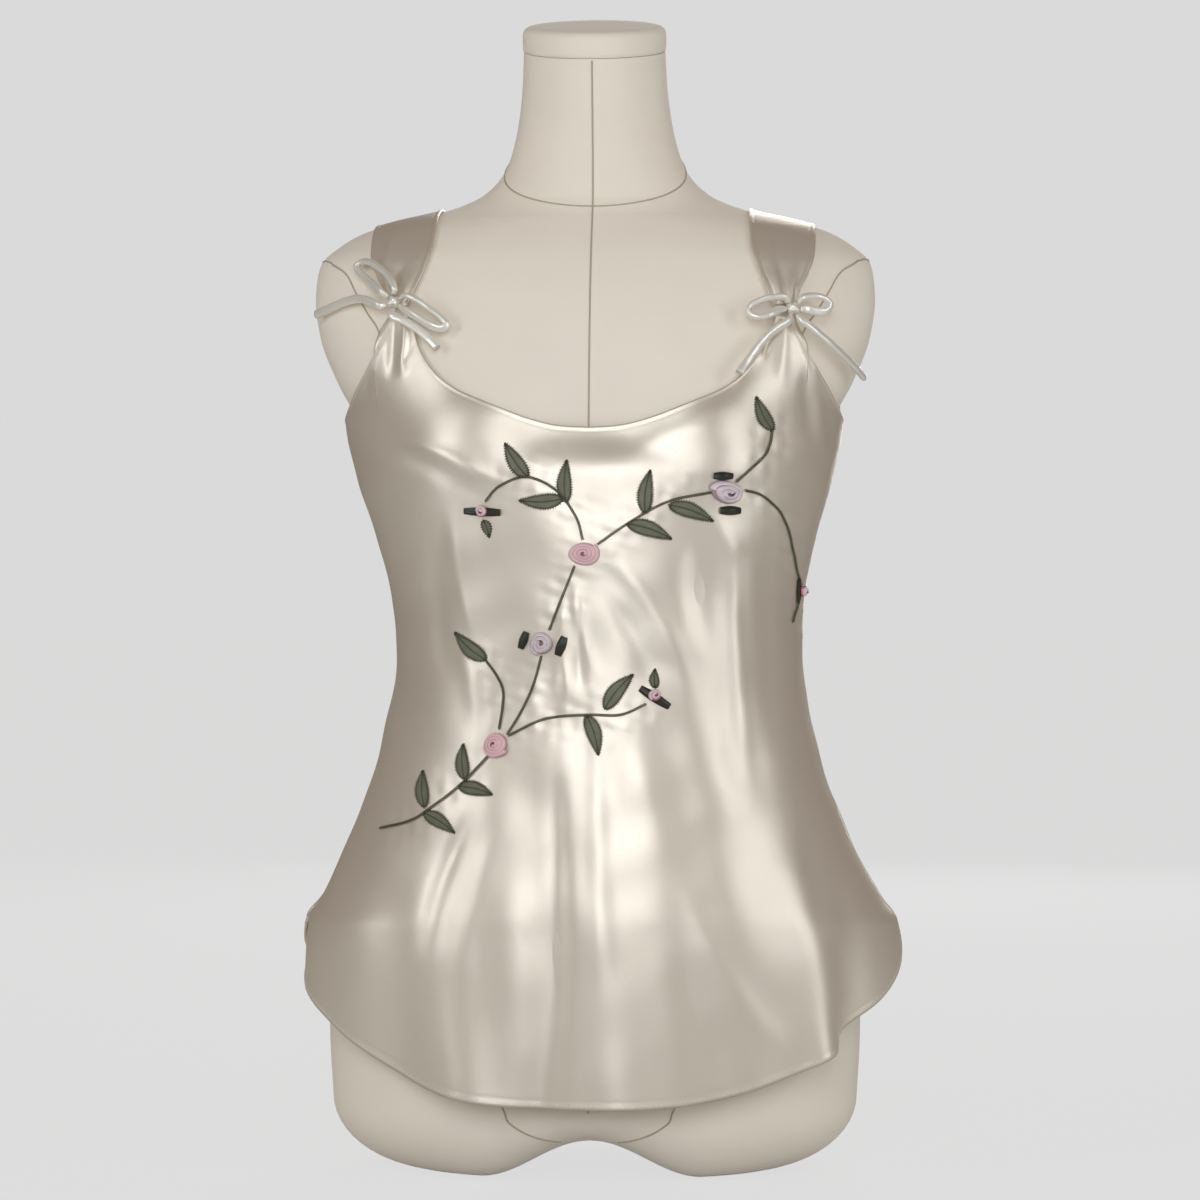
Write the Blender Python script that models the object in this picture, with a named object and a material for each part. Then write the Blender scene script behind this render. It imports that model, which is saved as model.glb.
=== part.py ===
"""Ivory satin camisole on a limbless dress form.

The camisole is a front and a back panel that hang from two wide straps. Each strap is gathered
to a narrow neck in front and tied there with a rouleau bow. A shirt-tail hem dips in front and
behind and rises at the side seams. Ribbon roses and buds are sewn to the front.

Sizes are metres. The figure faces -Y, +Z is up, and the form stands on z = 0. Angles are
measured round the figure from the centre front, positive towards +X. Left and right are the
viewer's.
"""

import math
from collections import namedtuple

import bpy
import numpy as np

# ---------------------------------------------------------------- driving sizes

SEAM_GAP = 0.0003            # between neighbouring pieces
WALL = 0.0015                # thickness of the cloth with its turnings
EASE = 0.0020                # how far the cloth stays off the form where it lies on it
BLEND = 0.005                # how softly hanging cloth turns into cloth that lies on the form

FORM_COLUMNS = 36            # facets round the form
RIM_LEVEL = 0.048            # height at which the leg ends start to round under
FLAT_SHARE = 0.62            # share of the leg ends' width that is not rounded
ARCH_HEIGHT = 0.026          # the shallow arch between the leg ends
ARCH_REACH = 0.075           # half its width
NECK_TILT = 0.26             # rise of the neck's flat top from front to back, per metre
CAP_RADIUS = 0.0487
CAP_HEIGHT = 0.0172

SIDE_SEAM = 91.0             # degrees from the centre front
UNDERARM = 0.503             # height of the side seam's top
HEM_FRONT = 0.055            # height of the hem at its lowest point in front
HEM_BACK = 0.062
HEM_RISE = 0.111             # from there up to the side seam
HEM_SHAPE = 1.7              # how long the hem stays low before it rises

GATHER_X = 0.1265            # the bows' gathered necks stand this far from the centre front
GATHER_LEVEL = 0.5755        # and at this height
GATHER_RIDGES = 5
STRAP_WIDTH = 0.044          # over the shoulder
GATHER_WIDTH = 0.0165        # at the bow
STRAP_EASE = 0.0015           # how far a strap stays off the form
STRAP_LENGTH = 0.27
AXIS_DEPTH = 0.010           # the straps wind round an axis inside the shoulders
AXIS_LEVEL = 0.555
BACK_JOIN = 0.560            # height at which the straps meet the back panel

ROULEAU = 0.0036             # diameter of the bows' tubes
KNOT_RADIUS = 0.0046
KNOT_GAP = 0.00075           # between a knot and the tubes that leave it
KNOT_SEAT = 0.0009           # height of the gather's ridges that carry a knot
TAIL_STEP = 2.2              # diameters between a tail's points
LOOP_STEP = 1.1              # and a loop's, which turns tighter
FLOWER_GAP = 0.0006          # between the cloth and what is sewn to it

# A horizontal section of the form: half its width, its depth before and behind its centre,
# the exponent of its superellipse, and the slope that tilts it towards the back.
Section = namedtuple("Section", "height half_width front back centre square tilt")
FORM = [
    Section(0.048, 0.1775, 0.1120, 0.1160, 0.000, 2.30, 0.0),
    Section(0.090, 0.1797, 0.1160, 0.1210, 0.000, 2.30, 0.0),
    Section(0.130, 0.1800, 0.1180, 0.1250, 0.000, 2.30, 0.0),
    Section(0.170, 0.1770, 0.1180, 0.1250, 0.000, 2.25, 0.0),
    Section(0.210, 0.1670, 0.1160, 0.1160, 0.000, 2.20, 0.0),
    Section(0.260, 0.1450, 0.1090, 0.0990, 0.000, 2.15, 0.0),
    Section(0.300, 0.1310, 0.1010, 0.0880, 0.000, 2.10, 0.0),
    Section(0.345, 0.1220, 0.0930, 0.0810, 0.000, 2.10, 0.0),
    Section(0.390, 0.1260, 0.0940, 0.0830, 0.000, 2.10, 0.0),
    Section(0.430, 0.1370, 0.0980, 0.0900, 0.000, 2.15, 0.0),
    Section(0.470, 0.1490, 0.1010, 0.0980, 0.000, 2.20, 0.0),
    Section(0.500, 0.1590, 0.1010, 0.1030, 0.000, 2.25, 0.0),
    Section(0.530, 0.1750, 0.0970, 0.1060, 0.000, 2.30, 0.0),
    Section(0.560, 0.1865, 0.0900, 0.1070, 0.000, 2.35, 0.0),
    Section(0.585, 0.1900, 0.0810, 0.1040, 0.000, 2.35, 0.0),
    Section(0.6045, 0.1885, 0.0740, 0.0980, 0.003, 2.35, 0.0),
    Section(0.6125, 0.1855, 0.0725, 0.0930, 0.006, 2.30, 0.0),
    Section(0.6225, 0.1750, 0.0690, 0.0860, 0.010, 2.20, 0.0),
    Section(0.6320, 0.1600, 0.0650, 0.0780, 0.013, 2.10, 0.02),
    Section(0.6400, 0.1360, 0.0620, 0.0715, 0.0155, 2.00, 0.05),
    Section(0.6465, 0.1090, 0.0590, 0.0665, 0.017, 1.95, 0.08),
    Section(0.6520, 0.0920, 0.0570, 0.0625, 0.0175, 1.95, 0.11),
    Section(0.6580, 0.0790, 0.0545, 0.0590, 0.0175, 2.00, 0.14),
    Section(0.6660, 0.0690, 0.0520, 0.0560, 0.0160, 2.00, 0.17),
    Section(0.6760, 0.0615, 0.0500, 0.0530, 0.0140, 2.00, 0.19),
    Section(0.6900, 0.0562, 0.0480, 0.0505, 0.0110, 2.00, 0.21),
    Section(0.7100, 0.0517, 0.0470, 0.0490, 0.0060, 2.00, 0.23),
    Section(0.7300, 0.0493, 0.0465, 0.0475, 0.0010, 2.00, 0.25),
    Section(0.7540, 0.0480, 0.0463, 0.0463, -0.0050, 2.00, NECK_TILT),
]

# Soft rounds on the form, each on both sides: where, how far they reach, how high they stand.
Round = namedtuple("Round", "angle spread level above below height")
ROUNDS = [
    Round(angle=38, spread=24, level=0.468, above=0.055, below=0.042, height=0.021),
    Round(angle=154, spread=24, level=0.150, above=0.060, below=0.070, height=0.010),
    Round(angle=150, spread=22, level=0.530, above=0.050, below=0.050, height=0.004),
]

# Horizontal sections of the cloth where it hangs free of the form, and how far it sways to +X.
Hanging = namedtuple("Hanging", "height half_width front back square sway")
CLOTH = [
    Hanging(0.050, 0.1990, 0.1400, 0.1400, 2.10, 0.0028),
    Hanging(0.100, 0.1990, 0.1390, 0.1395, 2.10, 0.0028),
    Hanging(0.150, 0.1985, 0.1370, 0.1380, 2.15, 0.0030),
    Hanging(0.166, 0.1970, 0.1360, 0.1370, 2.15, 0.0030),
    Hanging(0.178, 0.1885, 0.1350, 0.1355, 2.20, 0.0032),
    Hanging(0.192, 0.1805, 0.1335, 0.1325, 2.20, 0.0034),
    Hanging(0.219, 0.1670, 0.1300, 0.1270, 2.25, 0.0034),
    Hanging(0.246, 0.1567, 0.1270, 0.1200, 2.30, 0.0034),
    Hanging(0.287, 0.1445, 0.1230, 0.1120, 2.30, 0.0034),
    Hanging(0.314, 0.1390, 0.1210, 0.1070, 2.30, 0.0034),
    Hanging(0.345, 0.1355, 0.1200, 0.1030, 2.30, 0.0034),
    Hanging(0.382, 0.1375, 0.1200, 0.1020, 2.30, 0.0022),
    Hanging(0.423, 0.1465, 0.1205, 0.1050, 2.35, 0.0008),
    Hanging(0.464, 0.1585, 0.1190, 0.1080, 2.35, 0.0),
    Hanging(0.491, 0.1650, 0.1090, 0.1090, 2.30, 0.0),
    Hanging(0.520, 0.1670, 0.0980, 0.1060, 2.30, 0.0),
    Hanging(0.560, 0.1600, 0.0830, 0.1000, 2.30, 0.0),
    Hanging(0.590, 0.1500, 0.0700, 0.0900, 2.30, 0.0),
]

# Flutes of the skirt: round which angle, how wide, how far out at the hem, from which height.
Flute = namedtuple("Flute", "angle spread out start")
FLUTES = [
    Flute(angle=-97, spread=7, out=0.005, start=0.24),
    Flute(angle=-85, spread=4, out=-0.008, start=0.22),
    Flute(angle=-75, spread=6, out=0.005, start=0.26),
    Flute(angle=-52, spread=9, out=-0.007, start=0.34),
    Flute(angle=-30, spread=9, out=0.004, start=0.36),
    Flute(angle=-12, spread=6, out=-0.006, start=0.32),
    Flute(angle=8, spread=8, out=0.003, start=0.32),
    Flute(angle=34, spread=10, out=-0.003, start=0.28),
    Flute(angle=57, spread=5, out=0.009, start=0.24),
    Flute(angle=66, spread=5, out=-0.009, start=0.25),
    Flute(angle=82, spread=9, out=0.0065, start=0.26),
    Flute(angle=97, spread=8, out=0.004, start=0.24),
    Flute(angle=112, spread=8, out=-0.008, start=0.30),
    Flute(angle=130, spread=9, out=0.008, start=0.32),
    Flute(angle=149, spread=9, out=-0.007, start=0.34),
    Flute(angle=168, spread=10, out=0.007, start=0.34),
    Flute(angle=-172, spread=8, out=-0.006, start=0.30),
    Flute(angle=-153, spread=10, out=0.008, start=0.33),
    Flute(angle=-134, spread=8, out=-0.007, start=0.30),
    Flute(angle=-115, spread=8, out=0.006, start=0.28),
]

# The gathers' ridges: how high they stand at a distance from the bow. Height is that distance.
Ripple = namedtuple("Ripple", "height out")
PANEL_RIPPLES = [
    Ripple(0.000, 0.0005),
    Ripple(0.012, 0.0008),
    Ripple(0.035, 0.0012),
    Ripple(0.070, 0.0008),
    Ripple(0.125, 0.0),
]

# Each strap from the bow over the shoulder to the back. Height is the share of that way.
Strap = namedtuple("Strap", "height width out")
STRAP = [
    Strap(0.00, 0.0165, 0.0005),
    Strap(0.05, 0.0215, 0.0008),
    Strap(0.11, 0.0325, 0.0009),
    Strap(0.20, 0.0425, 0.0006),
    Strap(0.30, STRAP_WIDTH, 0.0003),
    Strap(0.50, STRAP_WIDTH, 0.0),
    Strap(1.00, STRAP_WIDTH, 0.0),
]

# Edges of the panels' right halves: necklines by x and z, armholes by angle and z.
Edge = namedtuple("Edge", "x z")
FRONT_NECK = [
    Edge(0.0000, 0.4940),
    Edge(0.0210, 0.4955),
    Edge(0.0400, 0.5003),
    Edge(0.0590, 0.5075),
    Edge(0.0770, 0.5150),
    Edge(0.0910, 0.5225),
    Edge(0.1030, 0.5330),
    Edge(0.1130, 0.5500),
]
BACK_NECK = [
    Edge(0.0000, 0.5150),
    Edge(0.0300, 0.5165),
    Edge(0.0560, 0.5215),
    Edge(0.0780, 0.5300),
    Edge(0.0950, 0.5430),
]

ArmEdge = namedtuple("ArmEdge", "angle z")
FRONT_ARMHOLE = [
    ArmEdge(62.3, 0.5600),
    ArmEdge(64.0, 0.5445),
    ArmEdge(69.0, 0.5280),
    ArmEdge(76.0, 0.5135),
    ArmEdge(83.0, 0.5055),
    ArmEdge(SIDE_SEAM, UNDERARM),
]
BACK_ARMHOLE = [
    ArmEdge(SIDE_SEAM, UNDERARM),
    ArmEdge(96.0, 0.5060),
    ArmEdge(101.0, 0.5150),
    ArmEdge(106.5, 0.5300),
    ArmEdge(112.5, 0.5480),
]

# Ribbon roses and buds: centre, size across and up, turn in degrees, how high they stand.
Flower = namedtuple("Flower", "name x z width length turn height")
ROSES = [
    Flower("rose_upper", -0.002, 0.412, 0.0235, 0.0170, 5, 0.0060),
    Flower("rose_side", 0.090, 0.452, 0.0240, 0.0170, -8, 0.0065),
    Flower("rose_middle", -0.0285, 0.354, 0.0195, 0.0160, -20, 0.0065),
    Flower("rose_lower", -0.059, 0.288, 0.0190, 0.0180, 0, 0.0060),
]
BUDS = [
    Flower("bud_left", -0.068, 0.4395, 0.0090, 0.0085, 0, 0.0045),
    Flower("bud_lower", 0.0430, 0.3205, 0.0090, 0.0090, -35, 0.0045),
    Flower("bud_right", 0.1365, 0.3885, 0.0085, 0.0105, 60, 0.0045),
]

# Ribbon leaves and the bars of ribbon under the buds, in the same columns.
RIBBONS = [
    Flower("bar_left", -0.0680, 0.4393, 0.0250, 0.0058, -3, 0.0012),
    Flower("bar_lower", 0.0430, 0.3190, 0.0225, 0.0062, -33, 0.0012),
    Flower("bar_right", 0.1355, 0.3885, 0.0170, 0.0060, -72, 0.0012),
    Flower("leaf_side_upper", 0.0865, 0.4637, 0.0130, 0.0050, 0, 0.0028),
    Flower("leaf_side_lower", 0.0918, 0.4391, 0.0135, 0.0062, 0, 0.0028),
    Flower("leaf_middle_left", -0.0415, 0.3560, 0.0100, 0.0060, -110, 0.0028),
    Flower("leaf_middle_right", -0.0150, 0.3520, 0.0110, 0.0060, -110, 0.0028),
]

# The bows' knots: where they sit on the gathers. Below them, in millimetres, the routes of the
# tubes that leave them.
Knot = namedtuple("Knot", "x z")
KNOTS = {"left": Knot(-0.1275, 0.5765), "right": Knot(0.1305, 0.5715)}
TAILS = {
    "bow_left_tail_side": [
        (-139, -77, 576), (-146, -71, 579.5), (-155, -63, 582), (-165, -54.5, 580.5),
        (-176, -45, 577), (-186, -34, 574),
    ],
    "bow_left_tail_front": [
        (-130.5, -81, 569.5), (-123, -84, 566), (-115.5, -86, 561.5), (-109, -88, 556.5),
        (-104, -90, 551.5), (-100, -92.5, 547),
    ],
    "bow_right_tail_front": [
        (130.5, -82, 565), (123, -86, 560), (116, -90, 554), (110, -94, 547),
        (104, -99, 538.5), (98, -105, 529.5),
    ],
    "bow_right_tail_side": [
        (138.5, -79.5, 566), (145, -77, 561.5), (152, -73, 556), (160, -67, 549.5),
        (168, -58, 542.5), (175, -47, 536.5), (181, -33, 531),
    ],
}
LOOPS = {
    "bow_left_loop_upper": [
        (-138, -77.5, 585), (-143.5, -69, 590), (-149, -60.5, 595), (-155, -54, 600),
        (-157, -51, 604.5), (-153, -53, 607.5), (-147, -58, 606.5), (-140, -64.5, 602),
        (-133.5, -71, 595.5), (-129.5, -77.5, 588),
    ],
    "bow_left_loop_front": [
        (-121, -82, 582.5), (-114, -85.5, 579.5), (-106, -87, 574), (-98, -89, 568),
        (-94, -90, 563), (-98, -91, 560), (-106, -90.5, 563), (-114.5, -88, 568.5),
        (-122, -83, 573),
    ],
    "bow_right_loop_front": [
        (127.5, -81, 580.5), (119, -84, 580), (111, -86, 577.5), (105, -88, 574),
        (105, -89.5, 569.5), (111, -90, 567.5), (118, -88, 569.5), (124.5, -82.5, 572.5),
    ],
    "bow_right_loop_side": [
        (139.5, -78.5, 580.5), (147, -76.5, 582), (154, -73.5, 580.5), (158, -71.5, 576.5),
        (155, -73.5, 572), (149, -76.5, 571.5), (142.5, -78.5, 573),
    ],
}


# ---------------------------------------------------------------- formulas


def smooth(rows, column, at):
    """Monotone cubic through one column of a table, read at the heights `at`.

    The slope at a row is the harmonic mean of the two neighbouring chords, or zero where the
    column turns, so the curve never overshoots its rows.
    """
    knots = np.array([row.height for row in rows])
    values = np.array([row[row._fields.index(column)] for row in rows])
    step = np.diff(knots)
    chord = np.diff(values) / step
    before, after = chord[:-1], chord[1:]
    same = before * after > 0
    total = np.where(same, before + after, 1.0)
    inner = np.where(same, 2 * before * after / total, 0.0)
    slope = np.concatenate([chord[:1], inner, chord[-1:]])
    at = np.clip(at, knots[0], knots[-1])
    i = np.clip(np.searchsorted(knots, at, side="right") - 1, 0, len(step) - 1)
    t = (at - knots[i]) / step[i]
    return (
        (1 + 2 * t) * (1 - t) ** 2 * values[i]
        + t * (1 - t) ** 2 * step[i] * slope[i]
        + t * t * (3 - 2 * t) * values[i + 1]
        + t * t * (t - 1) * step[i] * slope[i + 1]
    )


def section_radius(rows, angle, height):
    """Superellipse in polar form: (|sin/half_width|^n + |cos/depth|^n)^(-1/n)."""
    half_width = smooth(rows, "half_width", height)
    depth = np.where(
        np.cos(angle) > 0, smooth(rows, "front", height), smooth(rows, "back", height)
    )
    n = smooth(rows, "square", height)
    across = np.abs(np.sin(angle) / half_width) ** n
    along = np.abs(np.cos(angle) / depth) ** n
    return (across + along) ** (-1 / n)


def turn_between(angle, centre):
    """Signed difference of two angles, between -pi and pi."""
    return (angle - centre + math.pi) % (2 * math.pi) - math.pi


def form_radius(angle, level):
    """The form's section plus its soft rounds, each a bell in angle times a bell in height."""
    radius = section_radius(FORM, angle, level)
    for item in ROUNDS:
        reach = np.where(level > item.level, item.above, item.below)
        rise = np.exp(-(((level - item.level) / reach) ** 2))
        for side in (-1, 1):
            turn = turn_between(angle, side * math.radians(item.angle))
            radius = radius + item.height * rise * np.exp(-((turn / math.radians(item.spread)) ** 2))
    return radius


def form_point(angle, level, share=1.0):
    """Point of the form's tilted section, `share` of the way out from its centre."""
    radius = share * form_radius(angle, level)
    centre = smooth(FORM, "centre", level)
    back = -radius * np.cos(angle)
    rise = smooth(FORM, "tilt", level) * back
    return np.stack(np.broadcast_arrays(radius * np.sin(angle), centre + back, level + rise), -1)


def outside_form(x, y, z):
    """Distance of a point outside the form's section, negative inside."""
    level = z
    for _ in range(4):
        back = y - smooth(FORM, "centre", level)
        level = z - smooth(FORM, "tilt", level) * back
    back = y - smooth(FORM, "centre", level)
    return np.hypot(x, back) - form_radius(np.arctan2(x, -back), level)


def hem_height(angle):
    """The hem dips in front and behind and rises to the sides with 1 - |cos(angle)|."""
    lowest = np.where(np.cos(angle) > 0, HEM_FRONT, HEM_BACK)
    rise = HEM_FRONT + HEM_RISE - lowest
    return lowest + rise * (1 - np.abs(np.cos(angle))) ** HEM_SHAPE


def fluting(angle, height):
    """Sum of the flutes: a bell in angle that grows with the square of the way to the hem."""
    total = np.zeros(np.broadcast(angle, height).shape)
    for item in FLUTES:
        reach = item.start - hem_height(math.radians(item.angle))
        down = np.clip((item.start - height) / reach, 0, 1.2)
        turn = turn_between(angle, math.radians(item.angle)) / math.radians(item.spread)
        total = total + item.out * down**2 * np.exp(-(turn**2))
    return total


def cloth_radius(angle, height):
    """The cloth's inside: the larger of hanging cloth and the form plus ease, softly blended."""
    sway = smooth(CLOTH, "sway", height) * np.sin(angle)
    hang = section_radius(CLOTH, angle, height) + sway + fluting(angle, height)
    worn = form_radius(angle, height) + EASE
    return 0.5 * (hang + worn + np.sqrt((hang - worn) ** 2 + BLEND**2))


def cloth_point(angle, height):
    """Point on the cloth's inside, at an angle round the figure and a height."""
    radius = cloth_radius(angle, height)
    x = radius * np.sin(angle)
    y = -radius * np.cos(angle)
    return np.stack(np.broadcast_arrays(x, y, height), -1)


def moved_out(surface, a, b, out):
    """Point of surface(a, b) moved along its outward normal, which central differences give."""
    step = 0.0005
    across = surface(a + step, b) - surface(a - step, b)
    up = surface(a, b + step) - surface(a, b - step)
    normal = np.cross(across, up)
    normal /= np.linalg.norm(normal, axis=-1, keepdims=True)
    return surface(a, b) + normal * np.asarray(out)[..., None]


def angle_seen(x, z, behind=False):
    """Angle round the figure where the cloth's inside has this x at this height, by halving."""
    low = np.full(np.broadcast(x, z).shape, -0.5 * math.pi)
    high = -low
    for _ in range(40):
        middle = 0.5 * (low + high)
        angle = math.pi - middle if behind else middle
        short = cloth_radius(angle, z) * np.sin(angle) < x
        low = np.where(short, middle, low)
        high = np.where(short, high, middle)
    return math.pi - low if behind else low


def sewn_on(item, across, up, out):
    """Point of a piece sewn to the front, laid flat on the cloth's outside round its centre.

    `across` and `up` are lengths on the cloth, turned by the piece's own turn.
    """
    lean = math.radians(item.turn)
    along = across * math.cos(lean) - up * math.sin(lean)
    rise = across * math.sin(lean) + up * math.cos(lean)
    centre = angle_seen(item.x, item.z)
    nudge = 0.001
    side_step = cloth_point(centre + nudge, item.z) - cloth_point(centre - nudge, item.z)
    arc_per_radian = np.linalg.norm(side_step) / (2 * nudge)
    return moved_out(cloth_point, centre + along / arc_per_radian, item.z + rise, WALL + out)


# ---------------------------------------------------------------- meshes


def material(name, colour, roughness):
    """Principled material in one plain colour."""
    made = bpy.data.materials.new(name)
    made.use_nodes = True
    shader = made.node_tree.nodes["Principled BSDF"]
    shader.inputs["Base Color"].default_value = (*colour, 1.0)
    shader.inputs["Roughness"].default_value = roughness
    return made


def solid(name, points, faces, finish):
    """Object of one closed mesh, shaded smooth."""
    mesh = bpy.data.meshes.new(name)
    mesh.from_pydata([tuple(p) for p in points], [], faces)
    mesh.materials.append(finish)
    mesh.shade_smooth()
    mesh.set_sharp_from_angle(angle=math.radians(50))
    made = bpy.data.objects.new(name, mesh)
    bpy.context.collection.objects.link(made)
    return made


def wall_solid(name, outer, inner, finish):
    """Closed wall between two grids of points, rows running down and columns to the right."""
    rows, columns = outer.shape[:2]
    size = rows * columns
    corner = np.arange(size).reshape(rows, columns)
    faces = []
    for i in range(rows - 1):
        for j in range(columns - 1):
            quad = (corner[i, j], corner[i + 1, j], corner[i + 1, j + 1], corner[i, j + 1])
            faces.append(quad)
            faces.append(tuple(size + k for k in reversed(quad)))
    rim = list(corner[0, :-1]) + list(corner[:-1, -1])
    rim += list(corner[-1, :0:-1]) + list(corner[:0:-1, 0])
    for here, there in zip(rim, rim[1:] + rim[:1]):
        faces.append((here, there, size + there, size + here))
    points = np.concatenate([outer.reshape(-1, 3), inner.reshape(-1, 3)])
    return solid(name, points, faces, finish)


def turned_solid(name, rings, top, bottom, finish):
    """Closed skin through rings of points from the top down, closed by a point at each end."""
    count, columns = rings.shape[:2]
    faces = []
    for i in range(count - 1):
        here, below = i * columns, (i + 1) * columns
        for j in range(columns):
            k = (j + 1) % columns
            faces.append((here + j, below + j, below + k, here + k))
    last = (count - 1) * columns
    first_pole, last_pole = count * columns, count * columns + 1
    for j in range(columns):
        k = (j + 1) % columns
        faces.append((first_pole, j, k))
        faces.append((last_pole, last + k, last + j))
    points = np.concatenate([rings.reshape(-1, 3), [top, bottom]])
    return solid(name, points, faces, finish)


# ---------------------------------------------------------------- the dress form


def arch_height(x):
    """Underside between the leg ends: a squared cosine that is flat outside its reach."""
    inside = np.clip(np.abs(x) / ARCH_REACH, 0, 1)
    return ARCH_HEIGHT * np.cos(0.5 * math.pi * inside) ** 2


def build_form(finish):
    """Torso from the neck's flat top to the rounded leg ends, one skin."""
    even = np.linspace(0, 2 * math.pi, FORM_COLUMNS, endpoint=False)
    rings = []
    for row in reversed(FORM):
        depth = np.where(np.cos(even) > 0, row.front, row.back)
        angle = np.arctan2(row.half_width * np.sin(even), depth * np.cos(even))
        rings.append(form_point(angle, np.full(FORM_COLUMNS, row.height)))
    rim = rings[-1]
    for share in (0.985, 0.95, 0.90, 0.84, 0.76, 0.69, FLAT_SHARE, 0.45, 0.25):
        inward = max(0.0, (share - FLAT_SHARE) / (1 - FLAT_SHARE))
        ring = rim * (share, share, 1.0)
        arch = arch_height(ring[:, 0])
        ring[:, 2] = arch + (RIM_LEVEL - arch) * (1 - math.sqrt(1 - inward**2))
        rings.append(ring)
    neck = FORM[-1]
    top = (0.0, neck.centre, neck.height)
    bottom = (0.0, 0.0, ARCH_HEIGHT)
    return turned_solid("form_body", np.array(rings), top, bottom, finish)


def build_cap(finish):
    """Neck cap: a low turned disc with a rounded edge, tilted with the neck's top."""
    profile = [
        (CAP_RADIUS - 0.0060, CAP_HEIGHT),
        (CAP_RADIUS - 0.0030, CAP_HEIGHT - 0.0007),
        (CAP_RADIUS - 0.0009, CAP_HEIGHT - 0.0025),
        (CAP_RADIUS, CAP_HEIGHT - 0.0055),
        (CAP_RADIUS, 0.0020),
        (CAP_RADIUS - 0.0012, 0.0),
    ]
    turn = np.linspace(0, 2 * math.pi, FORM_COLUMNS, endpoint=False)
    rings = [
        np.stack([r * np.sin(turn), -r * np.cos(turn), np.full(FORM_COLUMNS, h)], -1)
        for r, h in profile
    ]
    cap = turned_solid("form_neck_cap", np.array(rings), (0, 0, CAP_HEIGHT), (0, 0, 0), finish)
    neck = FORM[-1]
    tilt = math.atan(NECK_TILT)
    cap.rotation_euler.x = tilt
    cap.location = (
        0.0,
        neck.centre - SEAM_GAP * math.sin(tilt),
        neck.height + SEAM_GAP * math.cos(tilt),
    )
    return cap


# ---------------------------------------------------------------- panels and straps


def even_along(points, count):
    """`count` places spread evenly by length along a polyline, its two ends included."""
    points = np.asarray(points, dtype=float)
    length = np.concatenate([[0], np.cumsum(np.linalg.norm(np.diff(points, axis=0), axis=1))])
    at = np.linspace(0, length[-1], count)
    return np.stack([np.interp(at, length, points[:, k]) for k in range(points.shape[1])], -1)


def edge_places(edges, steps, behind=False):
    """Angles and heights of steps + 1 places along an edge that is given by x and z."""
    places = even_along([(edge.x, edge.z) for edge in edges], steps + 1)
    angle = angle_seen(places[:, 0], places[:, 1], behind)
    return np.stack([angle, places[:, 1]], -1)


def armhole_places(edges, corner, steps):
    """The same for an armhole, given by angle and z, that starts or ends at a strap's corner."""
    listed = [(math.radians(edge.angle), edge.z) for edge in edges]
    listed = [corner, *listed] if edges is FRONT_ARMHOLE else [*listed, corner]
    arc_per_radian = 0.16
    scaled = np.array(listed) * (arc_per_radian, 1.0)
    return even_along(scaled, steps + 1) / (arc_per_radian, 1.0)


def strap_ends(level, width):
    """Inner and outer corner of a strap where it meets a panel."""
    return Edge(GATHER_X - width / 2, level), Edge(GATHER_X + width / 2, level)


def panel_grid(top, foot, rows):
    """Angles and heights of a panel's grid, whose columns run from the top edge to the hem.

    A column leaves its top place towards its foot along 1 - (1 - v)^3, so columns that start
    close together at a gather fan out over the first third of the way.
    """
    v = np.linspace(0, 1, rows)[:, None] ** 1.15
    fan = 1 - (1 - v) ** 3
    angle = top[:, 0] + (foot - top[:, 0]) * fan
    height = top[:, 1] + (hem_height(foot) - top[:, 1]) * v
    half_gap = SEAM_GAP / 2 / cloth_radius(angle, height)
    angle[:, 0] += half_gap[:, 0]
    angle[:, -1] -= half_gap[:, -1]
    return angle, height


def build_front(finish):
    """Front panel. Every other column of a gather stands up as a ridge that fades below."""
    inner, outer = strap_ends(GATHER_LEVEL, GATHER_WIDTH)
    neck_steps, gather_steps, armhole_steps = 9, 2 * GATHER_RIDGES, 6
    neck = edge_places(FRONT_NECK + [inner], neck_steps)
    gather = edge_places([inner, outer], gather_steps)
    armhole = armhole_places(FRONT_ARMHOLE, gather[-1], armhole_steps)
    half = np.concatenate([neck, gather[1:], armhole[1:]])
    neck_foot, gather_foot = 42, 67
    foot = np.concatenate([
        np.linspace(0, neck_foot, neck_steps + 1),
        np.linspace(neck_foot, gather_foot, gather_steps + 1)[1:],
        np.linspace(gather_foot, SIDE_SEAM, armhole_steps + 1)[1:],
    ])
    ridge = np.zeros(len(foot))
    ridge[neck_steps:neck_steps + gather_steps + 1] = 1 - np.cos(
        math.pi * np.arange(gather_steps + 1)
    )
    top = np.concatenate([half[:0:-1] * (-1, 1), half])
    foot = np.radians(np.concatenate([-foot[:0:-1], foot]))
    ridge = np.concatenate([ridge[:0:-1], ridge])
    angle, height = panel_grid(top, foot, rows=24)
    ripple = ridge * smooth(PANEL_RIPPLES, "out", GATHER_LEVEL - height)
    inside = moved_out(cloth_point, angle, height, ripple)
    outside = moved_out(cloth_point, angle, height, ripple + WALL)
    return wall_solid("front_panel", outside, inside, finish)


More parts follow.
